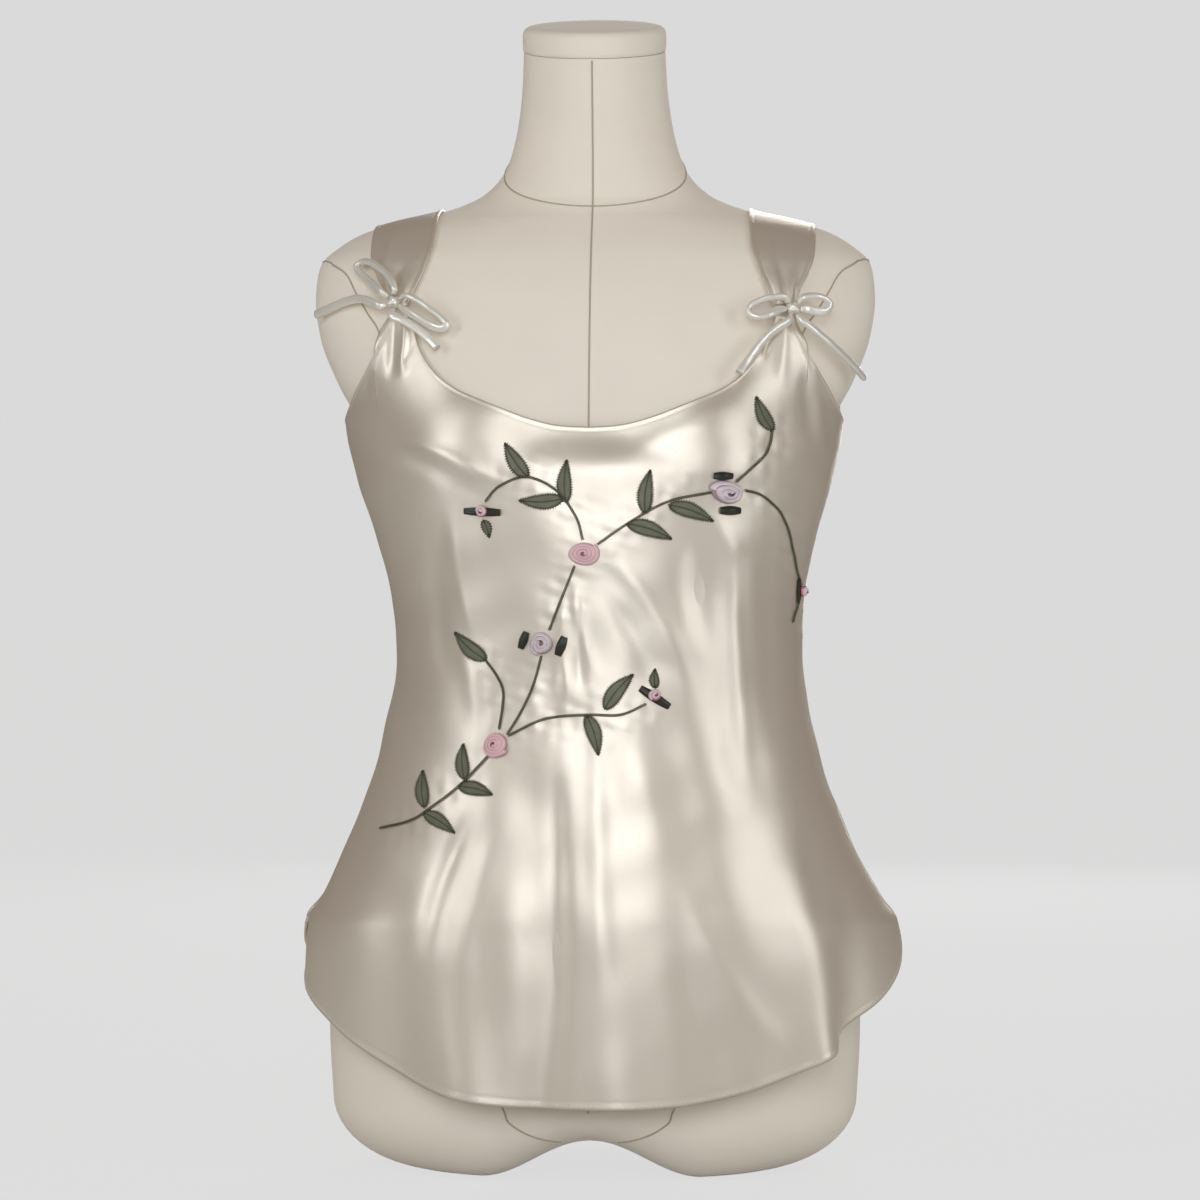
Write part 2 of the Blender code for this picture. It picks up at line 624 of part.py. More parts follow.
def build_back(finish):
    """Back panel, plain, from the right side seam round to the left one."""
    inner, outer = strap_ends(BACK_JOIN, STRAP_WIDTH)
    armhole_steps, join_steps, neck_steps = 6, 3, 6
    join = edge_places([outer, inner], join_steps, behind=True)
    armhole = armhole_places(BACK_ARMHOLE, join[0], armhole_steps)
    neck = edge_places([inner] + BACK_NECK[::-1], neck_steps, behind=True)
    half = np.concatenate([armhole, join[1:], neck[1:]])
    armhole_foot, join_foot = 114, 131
    foot = np.concatenate([
        np.linspace(SIDE_SEAM, armhole_foot, armhole_steps + 1),
        np.linspace(armhole_foot, join_foot, join_steps + 1)[1:],
        np.linspace(join_foot, 180, neck_steps + 1)[1:],
    ])
    top = np.concatenate([half, (2 * math.pi, 0) + half[-2::-1] * (-1, 1)])
    foot = np.radians(np.concatenate([foot, 360 - foot[-2::-1]]))
    angle, height = panel_grid(top, foot, rows=20)
    inside = cloth_point(angle, height)
    outside = moved_out(cloth_point, angle, height, WALL)
    return wall_solid("back_panel", outside, inside, finish)


def strap_surface(side):
    """Function for the inside of one strap, of t across (-0.5 to 0.5) and s along (0 to 1).

    A point lies where a ray from an axis inside the shoulder leaves the form, plus the ease.
    At both ends the surface is drawn to the panel's edge, and that pull fades with (1 - s/0.2)^2.
    """

    def edge(x, level, behind):
        return cloth_point(side * angle_seen(side * x, level, behind), level)

    def turn(point):
        return np.arctan2(point[..., 2] - AXIS_LEVEL, AXIS_DEPTH - point[..., 1])

    def on_ray(x, angle):
        near, far = np.zeros(np.shape(x)), np.full(np.shape(x), 0.3)
        for _ in range(40):
            reach = 0.5 * (near + far)
            y = AXIS_DEPTH - reach * np.cos(angle)
            z = AXIS_LEVEL + reach * np.sin(angle)
            within = outside_form(x, y, z) < STRAP_EASE
            near = np.where(within, reach, near)
            far = np.where(within, far, reach)
        return np.stack([x, y, z], -1)

    def surface(t, s):
        t, s = np.broadcast_arrays(t, s)
        middle = side * GATHER_X
        front = edge(middle + t * STRAP[0].width, np.full(t.shape, GATHER_LEVEL), False)
        back = edge(middle + t * STRAP_WIDTH, np.full(t.shape, BACK_JOIN), True)
        start, stop = turn(front), turn(back)
        x = middle + t * smooth(STRAP, "width", s)
        base = on_ray(x, start + (stop - start) * s)
        pull_front = np.clip(1 - s / 0.2, 0, 1)[..., None] ** 2
        pull_back = np.clip((s - 0.8) / 0.2, 0, 1)[..., None] ** 2
        base = base + pull_front * (front - on_ray(front[..., 0], start))
        return base + pull_back * (back - on_ray(back[..., 0], stop))

    return surface


def build_strap(name, side, finish):
    """Strap over one shoulder: plain and wide behind, drawn into ridges at the bow."""
    columns, rows = 2 * GATHER_RIDGES + 1, 22
    end = SEAM_GAP / STRAP_LENGTH
    s = np.linspace(1 - end, end, rows)
    t = np.linspace(-0.5, 0.5, columns)
    t, s = np.meshgrid(t, s)
    ridge = 1 - np.cos(math.pi * np.arange(columns))
    ripple = ridge * smooth(STRAP, "out", s)
    surface = strap_surface(side)
    inside = moved_out(surface, t, s, ripple)
    outside = moved_out(surface, t, s, ripple + WALL)
    return wall_solid(name, outside, inside, finish)


# ---------------------------------------------------------------- roses, buds and leaves


def build_flower(item, lift, petals, columns, finish):
    """Wound ribbon rose: a low dome whose top winds in a spiral ridge, cos(2 pi (petals r - t))."""
    turn = np.linspace(0, 2 * math.pi, columns, endpoint=False)

    def ring(share, rise):
        across = share * item.width / 2 * np.cos(turn)
        up = share * item.length / 2 * np.sin(turn)
        return sewn_on(item, across, up, lift + rise)

    rings = []
    for share in (0.22, 0.42, 0.62, 0.82, 0.95, 1.0):
        dome = item.height * math.sqrt(1 - 0.75 * share**2)
        winding = 0.08 * item.height * np.cos(2 * math.pi * petals * share - turn)
        rings.append(ring(share, dome + winding))
    rings.append(ring(0.92, 0.0))
    rings.append(ring(0.45, 0.0))
    top = sewn_on(item, 0.0, 0.0, lift + 0.9 * item.height)
    bottom = sewn_on(item, 0.0, 0.0, lift)
    return turned_solid(item.name, np.array(rings), top, bottom, finish)


def build_ribbon(item, finish):
    """Strip of ribbon on the cloth, thickest in the middle and narrower towards its ends."""
    across, up = np.meshgrid(np.linspace(-0.5, 0.5, 6), np.linspace(0.5, -0.5, 4))
    swell = np.cos(0.76 * math.pi * across)
    crown = item.height * swell * (1 - 1.6 * up**2)
    width = item.length * (0.7 + 0.3 * swell)
    outside = sewn_on(item, item.width * across, width * up, FLOWER_GAP + crown)
    inside = sewn_on(item, item.width * across, width * up, FLOWER_GAP)
    return wall_solid(item.name, outside, inside, finish)


# ---------------------------------------------------------------- bows


def smooth_route(points, spacing):
    """Points about `spacing` apart on a Catmull-Rom curve through the route's own points."""
    ends = np.array([2 * points[0] - points[1], 2 * points[-1] - points[-2]])
    p = np.concatenate([ends[:1], points, ends[1:]])
    t = np.linspace(0, 1, 12, endpoint=False)[:, None]
    pieces = [
        0.5 * (2 * p[i + 1] + (p[i + 2] - p[i]) * t
               + (2 * p[i] - 5 * p[i + 1] + 4 * p[i + 2] - p[i + 3]) * t**2
               + (3 * p[i + 1] - p[i] - 3 * p[i + 2] + p[i + 3]) * t**3)
        for i in range(len(points) - 1)
    ]
    dense = np.concatenate(pieces + [points[-1:]])
    length = np.linalg.norm(np.diff(dense, axis=0), axis=1).sum()
    return even_along(dense, max(4, round(length / spacing) + 1))


def build_tube(name, points, spacing, finish):
    """Round tube with closed ends along a smooth route."""
    curve = bpy.data.curves.new(name, "CURVE")
    curve.dimensions = "3D"
    curve.bevel_depth = ROULEAU / 2
    curve.bevel_resolution = 2
    curve.use_fill_caps = True
    route = smooth_route(np.asarray(points), spacing)
    spline = curve.splines.new("POLY")
    spline.points.add(len(route) - 1)
    spline.points.foreach_set("co", np.pad(route, ((0, 0), (0, 1)), constant_values=1).ravel())
    spline.use_smooth = True
    curve.materials.append(finish)
    made = bpy.data.objects.new(name, curve)
    bpy.context.collection.objects.link(made)
    return made


def knot_middle(side):
    """Middle of a knot that rests on the ridges of its gather."""
    seat = KNOTS[side]
    out = WALL + KNOT_SEAT + SEAM_GAP + KNOT_RADIUS
    return moved_out(cloth_point, angle_seen(seat.x, seat.z), seat.z, out)


def leave_knot(knot, towards):
    """Point just clear of the knot, on the way to a route's first point."""
    way = towards - knot
    return knot + way / np.linalg.norm(way) * (KNOT_RADIUS + KNOT_GAP)


def build_knot(name, middle, finish):
    """Knot: a small ball with a shallow groove where the tube wraps it."""
    turn = np.linspace(0, 2 * math.pi, 14, endpoint=False)
    rings = []
    for polar in np.linspace(0.35, math.pi - 0.35, 7):
        radius = KNOT_RADIUS * (1 - 0.10 * np.cos(2 * turn) ** 8) * math.sin(polar)
        height = np.full(len(turn), KNOT_RADIUS * math.cos(polar))
        rings.append(np.stack([radius * np.sin(turn), -radius * np.cos(turn), height], -1))
    pole = KNOT_RADIUS * 0.97
    knot = turned_solid(name, np.array(rings), (0, 0, pole), (0, 0, -pole), finish)
    knot.location = middle
    return knot


def build_bows(finish):
    """Both bows: a knot in front of each gather, two loops and two free tails."""
    for side in KNOTS:
        build_knot(f"bow_{side}_knot", knot_middle(side), finish)
    for table, step in ((TAILS, TAIL_STEP), (LOOPS, LOOP_STEP)):
        for name, listed in table.items():
            knot = knot_middle("left" if "left" in name else "right")
            route = np.array(listed) / 1000
            points = [leave_knot(knot, route[0]), *route]
            if table is LOOPS:
                points.append(leave_knot(knot, route[-1]))
            build_tube(name, points, step * ROULEAU, finish)


# ---------------------------------------------------------------- the whole


def main():
    """Build every piece in an emptied scene."""
    for old in list(bpy.data.objects):
        bpy.data.objects.remove(old, do_unlink=True)
    satin = material("ivory satin", (0.72, 0.67, 0.58), 0.35)
    jersey = material("cream jersey", (0.74, 0.68, 0.60), 0.85)
    pink = material("pink ribbon", (0.74, 0.42, 0.47), 0.40)
    pale = material("pale pink ribbon", (0.72, 0.55, 0.60), 0.40)
    green = material("dark green ribbon", (0.07, 0.07, 0.035), 0.35)
    build_form(jersey)
    build_cap(jersey)
    build_front(satin)
    build_back(satin)
    build_strap("strap_left", -1, satin)
    build_strap("strap_right", 1, satin)
    for item in ROSES:
        finish = pink if item.name in ("rose_upper", "rose_lower") else pale
        build_flower(item, FLOWER_GAP, 2.2, 18, finish)
    bar_thickness = RIBBONS[0].height
    for item in BUDS:
        build_flower(item, 2 * FLOWER_GAP + bar_thickness, 1.0, 10, pink)
    for item in RIBBONS:
        build_ribbon(item, green)
    build_bows(satin)


main()
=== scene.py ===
# %% [markdown]
# # A satin camisole on its dress form
#
# An ivory satin camisole hangs from two tied straps on a dress form. Its vine is embroidered and
# its roses are wound from ribbon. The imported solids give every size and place. This lesson makes
# the surfaces that are looked at, and puts each one on its solid.
#
# Lengths are metres, and tables are in millimetres where they say so. Angles run round the figure
# from the centre front, positive towards +X. Left and right are the viewer's.

import math
from collections import namedtuple

import bpy
import numpy as np
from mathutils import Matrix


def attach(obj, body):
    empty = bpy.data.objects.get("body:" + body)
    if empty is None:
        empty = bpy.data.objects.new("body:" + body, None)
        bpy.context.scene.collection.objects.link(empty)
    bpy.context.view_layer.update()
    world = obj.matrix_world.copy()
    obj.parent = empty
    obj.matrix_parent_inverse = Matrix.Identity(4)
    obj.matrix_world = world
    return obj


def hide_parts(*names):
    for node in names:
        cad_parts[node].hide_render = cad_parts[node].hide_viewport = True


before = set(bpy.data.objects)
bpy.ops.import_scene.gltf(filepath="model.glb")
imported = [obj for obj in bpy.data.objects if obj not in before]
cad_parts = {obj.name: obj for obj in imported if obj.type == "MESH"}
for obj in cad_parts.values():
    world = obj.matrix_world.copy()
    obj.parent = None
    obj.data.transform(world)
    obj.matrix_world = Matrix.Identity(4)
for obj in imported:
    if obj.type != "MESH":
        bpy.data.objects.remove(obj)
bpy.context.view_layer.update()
MM = 0.001

# %% [markdown]
# ## The camera
# The garment was seen almost straight on, from the height of its waist. A long lens from 2.4 m
# keeps the shoulders and the hem at their true widths. A view height that fits the whole figure
# could be found by trial, but one width at the figure's own distance says it in a single number.

# %% Camera
CAMERA_TURN = math.radians(2.2)
CAMERA_DISTANCE = 2.4
CAMERA_AIM = (0.0034, 0.0, 0.382)
SEEN_WIDTH = 0.816
SENSOR_MM = 36.0

camera_lens = bpy.data.cameras.new("camera")
camera_lens.sensor_width = SENSOR_MM
camera_lens.lens = SENSOR_MM * CAMERA_DISTANCE / SEEN_WIDTH
camera = bpy.data.objects.new("camera", camera_lens)
camera.location = (
    CAMERA_AIM[0] + CAMERA_DISTANCE * math.sin(CAMERA_TURN),
    CAMERA_AIM[1] - CAMERA_DISTANCE * math.cos(CAMERA_TURN),
    CAMERA_AIM[2],
)
camera.rotation_euler = (math.pi / 2, 0.0, CAMERA_TURN)
bpy.context.collection.objects.link(camera)
bpy.context.scene.camera = camera
print(f"lens {camera_lens.lens:.1f} mm")

# %% [markdown]
# ## The figure under the cloth
# A dress form is a stack of rounded sections. Each row of the table is one of them, and a smooth
# curve runs through each column. A superellipse is a little squarer than an ellipse, as a chest
# is. The bust is added as a soft round, which is easier to place than bent sections would be.

# %% Sections of the form
Section = namedtuple("Section", "height half_width front back centre square tilt")
FORM = [
    Section(0.048, 0.1775, 0.1120, 0.1160, 0.000, 2.30, 0.0),
    Section(0.090, 0.1797, 0.1160, 0.1210, 0.000, 2.30, 0.0),
    Section(0.130, 0.1800, 0.1180, 0.1250, 0.000, 2.30, 0.0),
    Section(0.170, 0.1770, 0.1180, 0.1250, 0.000, 2.25, 0.0),
    Section(0.210, 0.1670, 0.1160, 0.1160, 0.000, 2.20, 0.0),
    Section(0.260, 0.1450, 0.1090, 0.0990, 0.000, 2.15, 0.0),
    Section(0.300, 0.1310, 0.1010, 0.0880, 0.000, 2.10, 0.0),
    Section(0.345, 0.1220, 0.0930, 0.0810, 0.000, 2.10, 0.0),
    Section(0.390, 0.1260, 0.0940, 0.0830, 0.000, 2.10, 0.0),
    Section(0.430, 0.1370, 0.0980, 0.0900, 0.000, 2.15, 0.0),
    Section(0.470, 0.1490, 0.1010, 0.0980, 0.000, 2.20, 0.0),
    Section(0.500, 0.1590, 0.1010, 0.1030, 0.000, 2.25, 0.0),
    Section(0.530, 0.1750, 0.0970, 0.1060, 0.000, 2.30, 0.0),
    Section(0.560, 0.1865, 0.0900, 0.1070, 0.000, 2.35, 0.0),
    Section(0.585, 0.1900, 0.0810, 0.1040, 0.000, 2.35, 0.0),
    Section(0.6045, 0.1885, 0.0740, 0.0980, 0.003, 2.35, 0.0),
    Section(0.6125, 0.1855, 0.0725, 0.0930, 0.006, 2.30, 0.0),
    Section(0.6225, 0.1750, 0.0690, 0.0860, 0.010, 2.20, 0.0),
    Section(0.6320, 0.1600, 0.0650, 0.0780, 0.013, 2.10, 0.02),
    Section(0.6400, 0.1360, 0.0620, 0.0715, 0.0155, 2.00, 0.05),
    Section(0.6465, 0.1090, 0.0590, 0.0665, 0.017, 1.95, 0.08),
    Section(0.6520, 0.0920, 0.0570, 0.0625, 0.0175, 1.95, 0.11),
    Section(0.6580, 0.0790, 0.0545, 0.0590, 0.0175, 2.00, 0.14),
    Section(0.6660, 0.0690, 0.0520, 0.0560, 0.0160, 2.00, 0.17),
    Section(0.6760, 0.0615, 0.0500, 0.0530, 0.0140, 2.00, 0.19),
    Section(0.6900, 0.0562, 0.0480, 0.0505, 0.0110, 2.00, 0.21),
    Section(0.7100, 0.0517, 0.0470, 0.0490, 0.0060, 2.00, 0.23),
    Section(0.7300, 0.0493, 0.0465, 0.0475, 0.0010, 2.00, 0.25),
    Section(0.7540, 0.0480, 0.0463, 0.0463, -0.0050, 2.00, 0.26),
]
Round = namedtuple("Round", "angle spread level above below height")
ROUNDS = [
    Round(angle=38, spread=24, level=0.468, above=0.055, below=0.042, height=0.021),
    Round(angle=154, spread=24, level=0.150, above=0.060, below=0.070, height=0.010),
    Round(angle=150, spread=22, level=0.530, above=0.050, below=0.050, height=0.004),
]


def smooth(rows, column, at):
    """Monotone cubic through one column of a table, read at the heights `at`.

    The slope at a row is the harmonic mean of the two neighbouring chords, or zero where the
    column turns, so the curve never overshoots its rows.
    """
    knots = np.array([row.height for row in rows])
    values = np.array([row[row._fields.index(column)] for row in rows])
    step = np.diff(knots)
    chord = np.diff(values) / step
    before, after = chord[:-1], chord[1:]
    same = before * after > 0
    total = np.where(same, before + after, 1.0)
    inner = np.where(same, 2 * before * after / total, 0.0)
    slope = np.concatenate([chord[:1], inner, chord[-1:]])
    at = np.clip(at, knots[0], knots[-1])
    i = np.clip(np.searchsorted(knots, at, side="right") - 1, 0, len(step) - 1)
    t = (at - knots[i]) / step[i]
    return (
        (1 + 2 * t) * (1 - t) ** 2 * values[i]
        + t * (1 - t) ** 2 * step[i] * slope[i]
        + t * t * (3 - 2 * t) * values[i + 1]
        + t * t * (t - 1) * step[i] * slope[i + 1]
    )


def section_radius(rows, angle, height):
    """Superellipse in polar form: (|sin/half_width|^n + |cos/depth|^n)^(-1/n)."""
    half_width = smooth(rows, "half_width", height)
    depth = np.where(
        np.cos(angle) > 0, smooth(rows, "front", height), smooth(rows, "back", height)
    )
    n = smooth(rows, "square", height)
    across = np.abs(np.sin(angle) / half_width) ** n
    along = np.abs(np.cos(angle) / depth) ** n
    return (across + along) ** (-1 / n)


def turn_between(angle, centre):
    """Signed difference of two angles, between -pi and pi."""
    return (angle - centre + math.pi) % (2 * math.pi) - math.pi


def form_radius(angle, level):
    """The form's section plus its soft rounds, each a bell in angle times a bell in height."""
    radius = section_radius(FORM, angle, level)
    for item in ROUNDS:
        reach = np.where(level > item.level, item.above, item.below)
        rise = np.exp(-(((level - item.level) / reach) ** 2))
        for side in (-1, 1):
            turn = turn_between(angle, side * math.radians(item.angle))
            radius = radius + item.height * rise * np.exp(-((turn / math.radians(item.spread)) ** 2))
    return radius


def form_point(angle, level, share=1.0):
    """Point of the form's tilted section, `share` of the way out from its centre."""
    radius = share * form_radius(angle, level)
    back = -radius * np.cos(angle)
    rise = smooth(FORM, "tilt", level) * back
    centre = smooth(FORM, "centre", level)
    return np.stack(np.broadcast_arrays(radius * np.sin(angle), centre + back, level + rise), -1)


print(f"waist {2 * smooth(FORM, 'half_width', 0.345):.3f} m wide")

# %% [markdown]
# ## The hang of the cloth
# The satin lies on the bust and the shoulder blades and hangs free below them. So its surface is
# the larger of two radii, the hanging cloth's and the form's plus a little ease, with a soft
# change from one to the other. Near the hem the cloth stands out in flutes. They are bells in
# angle that grow with the square of the way down. A cloth simulation could find such a surface,
# but tables keep the outline where the real garment has it.

# %% Sections of the cloth
EASE = 0.0020
BLEND = 0.005
WALL = 0.0015
SEAM_GAP = 0.0003
HALVINGS = 30
HEM_FRONT, HEM_BACK, HEM_RISE, HEM_SHAPE = 0.055, 0.062, 0.111, 1.7

Hanging = namedtuple("Hanging", "height half_width front back square sway")
CLOTH = [
    Hanging(0.050, 0.1990, 0.1400, 0.1400, 2.10, 0.0028),
    Hanging(0.100, 0.1990, 0.1390, 0.1395, 2.10, 0.0028),
    Hanging(0.150, 0.1985, 0.1370, 0.1380, 2.15, 0.0030),
    Hanging(0.166, 0.1970, 0.1360, 0.1370, 2.15, 0.0030),
    Hanging(0.178, 0.1885, 0.1350, 0.1355, 2.20, 0.0032),
    Hanging(0.192, 0.1805, 0.1335, 0.1325, 2.20, 0.0034),
    Hanging(0.219, 0.1670, 0.1300, 0.1270, 2.25, 0.0034),
    Hanging(0.246, 0.1567, 0.1270, 0.1200, 2.30, 0.0034),
    Hanging(0.287, 0.1445, 0.1230, 0.1120, 2.30, 0.0034),
    Hanging(0.314, 0.1390, 0.1210, 0.1070, 2.30, 0.0034),
    Hanging(0.345, 0.1355, 0.1200, 0.1030, 2.30, 0.0034),
    Hanging(0.382, 0.1375, 0.1200, 0.1020, 2.30, 0.0022),
    Hanging(0.423, 0.1465, 0.1205, 0.1050, 2.35, 0.0008),
    Hanging(0.464, 0.1585, 0.1190, 0.1080, 2.35, 0.0),
    Hanging(0.491, 0.1650, 0.1090, 0.1090, 2.30, 0.0),
    Hanging(0.520, 0.1670, 0.0980, 0.1060, 2.30, 0.0),
    Hanging(0.560, 0.1600, 0.0830, 0.1000, 2.30, 0.0),
    Hanging(0.590, 0.1500, 0.0700, 0.0900, 2.30, 0.0),
]
Flute = namedtuple("Flute", "angle spread out start")
FLUTES = [
    Flute(-97, 7, 0.005, 0.24),
    Flute(-85, 4, -0.008, 0.22),
    Flute(-75, 6, 0.005, 0.26),
    Flute(-52, 9, -0.007, 0.34),
    Flute(-30, 9, 0.004, 0.36),
    Flute(-12, 6, -0.006, 0.32),
    Flute(8, 8, 0.003, 0.32),
    Flute(34, 10, -0.003, 0.28),
    Flute(57, 5, 0.009, 0.24),
    Flute(66, 5, -0.009, 0.25),
    Flute(82, 9, 0.0065, 0.26),
    Flute(97, 8, 0.004, 0.24),
    Flute(112, 8, -0.008, 0.30),
    Flute(130, 9, 0.008, 0.32),
    Flute(149, 9, -0.007, 0.34),
    Flute(168, 10, 0.007, 0.34),
    Flute(-172, 8, -0.006, 0.30),
    Flute(-153, 10, 0.008, 0.33),
    Flute(-134, 8, -0.007, 0.30),
    Flute(-115, 8, 0.006, 0.28),
]


def hem_height(angle):
    """The hem dips in front and behind and rises to the sides with 1 - |cos(angle)|."""
    lowest = np.where(np.cos(angle) > 0, HEM_FRONT, HEM_BACK)
    rise = HEM_FRONT + HEM_RISE - lowest
    return lowest + rise * (1 - np.abs(np.cos(angle))) ** HEM_SHAPE


def fluting(angle, height):
    """Sum of the flutes: a bell in angle that grows with the square of the way to the hem."""
    total = np.zeros(np.broadcast(angle, height).shape)
    for item in FLUTES:
        reach = item.start - hem_height(math.radians(item.angle))
        down = np.clip((item.start - height) / reach, 0, 1.2)
        turn = turn_between(angle, math.radians(item.angle)) / math.radians(item.spread)
        total = total + item.out * down**2 * np.exp(-(turn**2))
    return total


def cloth_radius(angle, height):
    """The cloth's inside: the larger of hanging cloth and the form plus ease, softly blended."""
    sway = smooth(CLOTH, "sway", height) * np.sin(angle)
    hang = section_radius(CLOTH, angle, height) + sway + fluting(angle, height)
    worn = form_radius(angle, height) + EASE
    return 0.5 * (hang + worn + np.sqrt((hang - worn) ** 2 + BLEND**2))


def cloth_point(angle, height):
    """Point on the cloth's inside, at an angle round the figure and a height."""
    radius = cloth_radius(angle, height)
    return np.stack(
        np.broadcast_arrays(radius * np.sin(angle), -radius * np.cos(angle), height), -1
    )


def unit(vectors):
    """Vectors of length one."""
    return vectors / np.linalg.norm(vectors, axis=-1, keepdims=True)


def normal_of(surface, a, b, step=0.0005):
    """Outward normal of surface(a, b), from central differences."""
    across = surface(a + step, b) - surface(a - step, b)
    up = surface(a, b + step) - surface(a, b - step)
    return unit(np.cross(across, up))


def moved_out(surface, a, b, out):
    """Point of surface(a, b) moved along its normal."""
    return surface(a, b) + normal_of(surface, a, b) * np.asarray(out)[..., None]


def angle_seen(x, z, behind=False):
    """Angle round the figure where the cloth's inside has this x at this height, by halving."""
    low = np.full(np.broadcast(x, z).shape, -0.5 * math.pi)
    high = -low
    for _ in range(HALVINGS):
        middle = 0.5 * (low + high)
        angle = math.pi - middle if behind else middle
        short = cloth_radius(angle, z) * np.sin(angle) < x
        low = np.where(short, middle, low)
        high = np.where(short, high, middle)
    return math.pi - low if behind else low


print(f"hem from {float(hem_height(0.0)):.3f} m to {HEM_FRONT + HEM_RISE:.3f} m")

# %% [markdown]
# ## Meshes from grids
# Every piece here is a grid of points from a function of two parameters. Three small helpers give
# a grid its faces: an open sheet of quads, a tube with closed ends, and a wall with a fine
# outside, a coarser inside and a rim between them. The inside is hardly seen, so one point in
# three is enough there and the fine side can be finer.

# %% Helpers for meshes
EVERY = 3


def sheet_quads(rows, columns, first=0, closed=False):
    """Quads of a grid whose rows run down and whose columns run right, as an array."""
    corner = first + np.arange(rows * columns).reshape(rows, columns)
    if closed:
        corner = np.concatenate([corner, corner[:, :1]], axis=1)
    quads = [corner[:-1, :-1], corner[1:, :-1], corner[1:, 1:], corner[:-1, 1:]]
    return np.stack(quads, -1).reshape(-1, 4)


def tube_faces(rings, around, first=0):
    """Faces of a tube whose two ends are closed."""
    faces = [tuple(f) for f in sheet_quads(rings, around, first, closed=True)]
    faces.append(tuple(range(first, first + around)))
    faces.append(tuple(range(first + (rings - 1) * around, first + rings * around))[::-1])
    return faces


def rim_of(grid):
    """What a grid holds along its rim, once round."""
    return np.concatenate([grid[0, :-1], grid[:-1, -1], grid[-1, :0:-1], grid[:0:-1, 0]])


def make_piece(name, points, faces, finish, nodes=(), layers=None, smooth_angle=None):
    """Object of one mesh that rides on the body and stands for its solids.

    `layers` gives two numbers for each point to a UV layer, whose second number paints light and shade.
    """
    mesh = bpy.data.meshes.new(name)
    mesh.from_pydata(np.asarray(points).reshape(-1, 3).tolist(), [], [list(f) for f in faces])
    mesh.materials.append(finish)
    mesh.shade_smooth()
    if smooth_angle:
        mesh.set_sharp_from_angle(angle=math.radians(smooth_angle))
    if layers is not None:
        corner_point = np.empty(len(mesh.loops), dtype=np.int32)
        mesh.loops.foreach_get("vertex_index", corner_point)
        uv = mesh.uv_layers.new(name="along_across")
        at_corners = np.asarray(layers).reshape(-1, 2)[corner_point]
        uv.data.foreach_set("uv", at_corners.astype(np.float32).ravel())
    made = bpy.data.objects.new(name, mesh)
    bpy.context.collection.objects.link(made)
    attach(made, "root")
    if nodes:
        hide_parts(*nodes)
    triangles = sum(len(f) - 2 for f in faces)
    print(f"{name}: {len(mesh.vertices)} points, {triangles} triangles")
    return made


def wall_faces(rows, columns):
    """Faces of a wall: a fine outside grid, an inside grid of one point in EVERY, and a rim.

    Along the rim each coarse edge meets EVERY fine ones, so it is filled with a fan.
    """
    fine = np.arange(rows * columns).reshape(rows, columns)
    few_rows, few_columns = (rows - 1) // EVERY + 1, (columns - 1) // EVERY + 1
    start = rows * columns
    coarse = start + np.arange(few_rows * few_columns).reshape(few_rows, few_columns)
    inside = sheet_quads(few_rows, few_columns, start)[:, ::-1]
    faces = [*sheet_quads(rows, columns), *inside]
    fine_rim, coarse_rim = rim_of(fine), rim_of(coarse)
    middle = EVERY // 2
    for k, here in enumerate(coarse_rim):
        there = coarse_rim[(k + 1) % len(coarse_rim)]
        for j in range(EVERY):
            a = fine_rim[k * EVERY + j]
            b = fine_rim[(k * EVERY + j + 1) % len(fine_rim)]
            faces.append((a, b, here if j <= middle else there))
            if j == middle:
                faces.append((b, there, here))
    return faces


print(f"about one inside point for {EVERY * EVERY} outside ones")

# %% Helpers for routes and tubes
def lengths_along(points):
    """Length along a polyline up to each of its points."""
    return np.concatenate([[0], np.cumsum(np.linalg.norm(np.diff(points, axis=0), axis=1))])


def whole_length(points):
    """Length of a polyline."""
    return float(np.linalg.norm(np.diff(points, axis=0), axis=1).sum())


def even_along(points, count):
    """`count` places spread evenly by length along a polyline, its two ends included."""
    points = np.asarray(points, dtype=float)
    length = lengths_along(points)
    at = np.linspace(0, length[-1], count)
    return np.stack([np.interp(at, length, points[:, k]) for k in range(points.shape[1])], -1)


def smooth_route(points, spacing, least=4, between=12):
    """Points about `spacing` apart on a Catmull-Rom curve through the route's own points."""
    points = np.asarray(points, dtype=float)
    ends = np.array([2 * points[0] - points[1], 2 * points[-1] - points[-2]])
    p = np.concatenate([ends[:1], points, ends[1:]])
    t = np.linspace(0, 1, between, endpoint=False)[:, None]
    pieces = [
        0.5 * (2 * p[i + 1] + (p[i + 2] - p[i]) * t
               + (2 * p[i] - 5 * p[i + 1] + 4 * p[i + 2] - p[i + 3]) * t**2
               + (3 * p[i + 1] - p[i] - 3 * p[i + 2] + p[i + 3]) * t**3)
        for i in range(len(points) - 1)
    ]
    dense = np.concatenate(pieces + [points[-1:]])
    return even_along(dense, max(least, round(whole_length(dense) / spacing) + 1))


def frame_along(route, lean, lift):
    """Unit vectors at each point of a route: along it, across it, and out from the figure.

    Out is close to (x / 2, y, lean * z + lift), which turns slowly round the body.
    """
    way = unit(np.gradient(route, axis=0))
    across = unit(np.cross(way, unit(route * (0.5, 1.0, lean) + (0, 0, lift))))
    return way, across, np.cross(across, way)


def tube_along(route, radius, around=8):
    """Grid of a round tube along a route. `radius` may be one number or one for each point."""
    _, across, out = frame_along(route, 0.1, 0.01)
    turn = np.linspace(0, 2 * math.pi, around, endpoint=False)[None, :, None]
    radius = np.broadcast_to(np.asarray(radius), (len(route),))[:, None, None]
    return route[:, None] + radius * (np.cos(turn) * across[:, None] + np.sin(turn) * out[:, None])


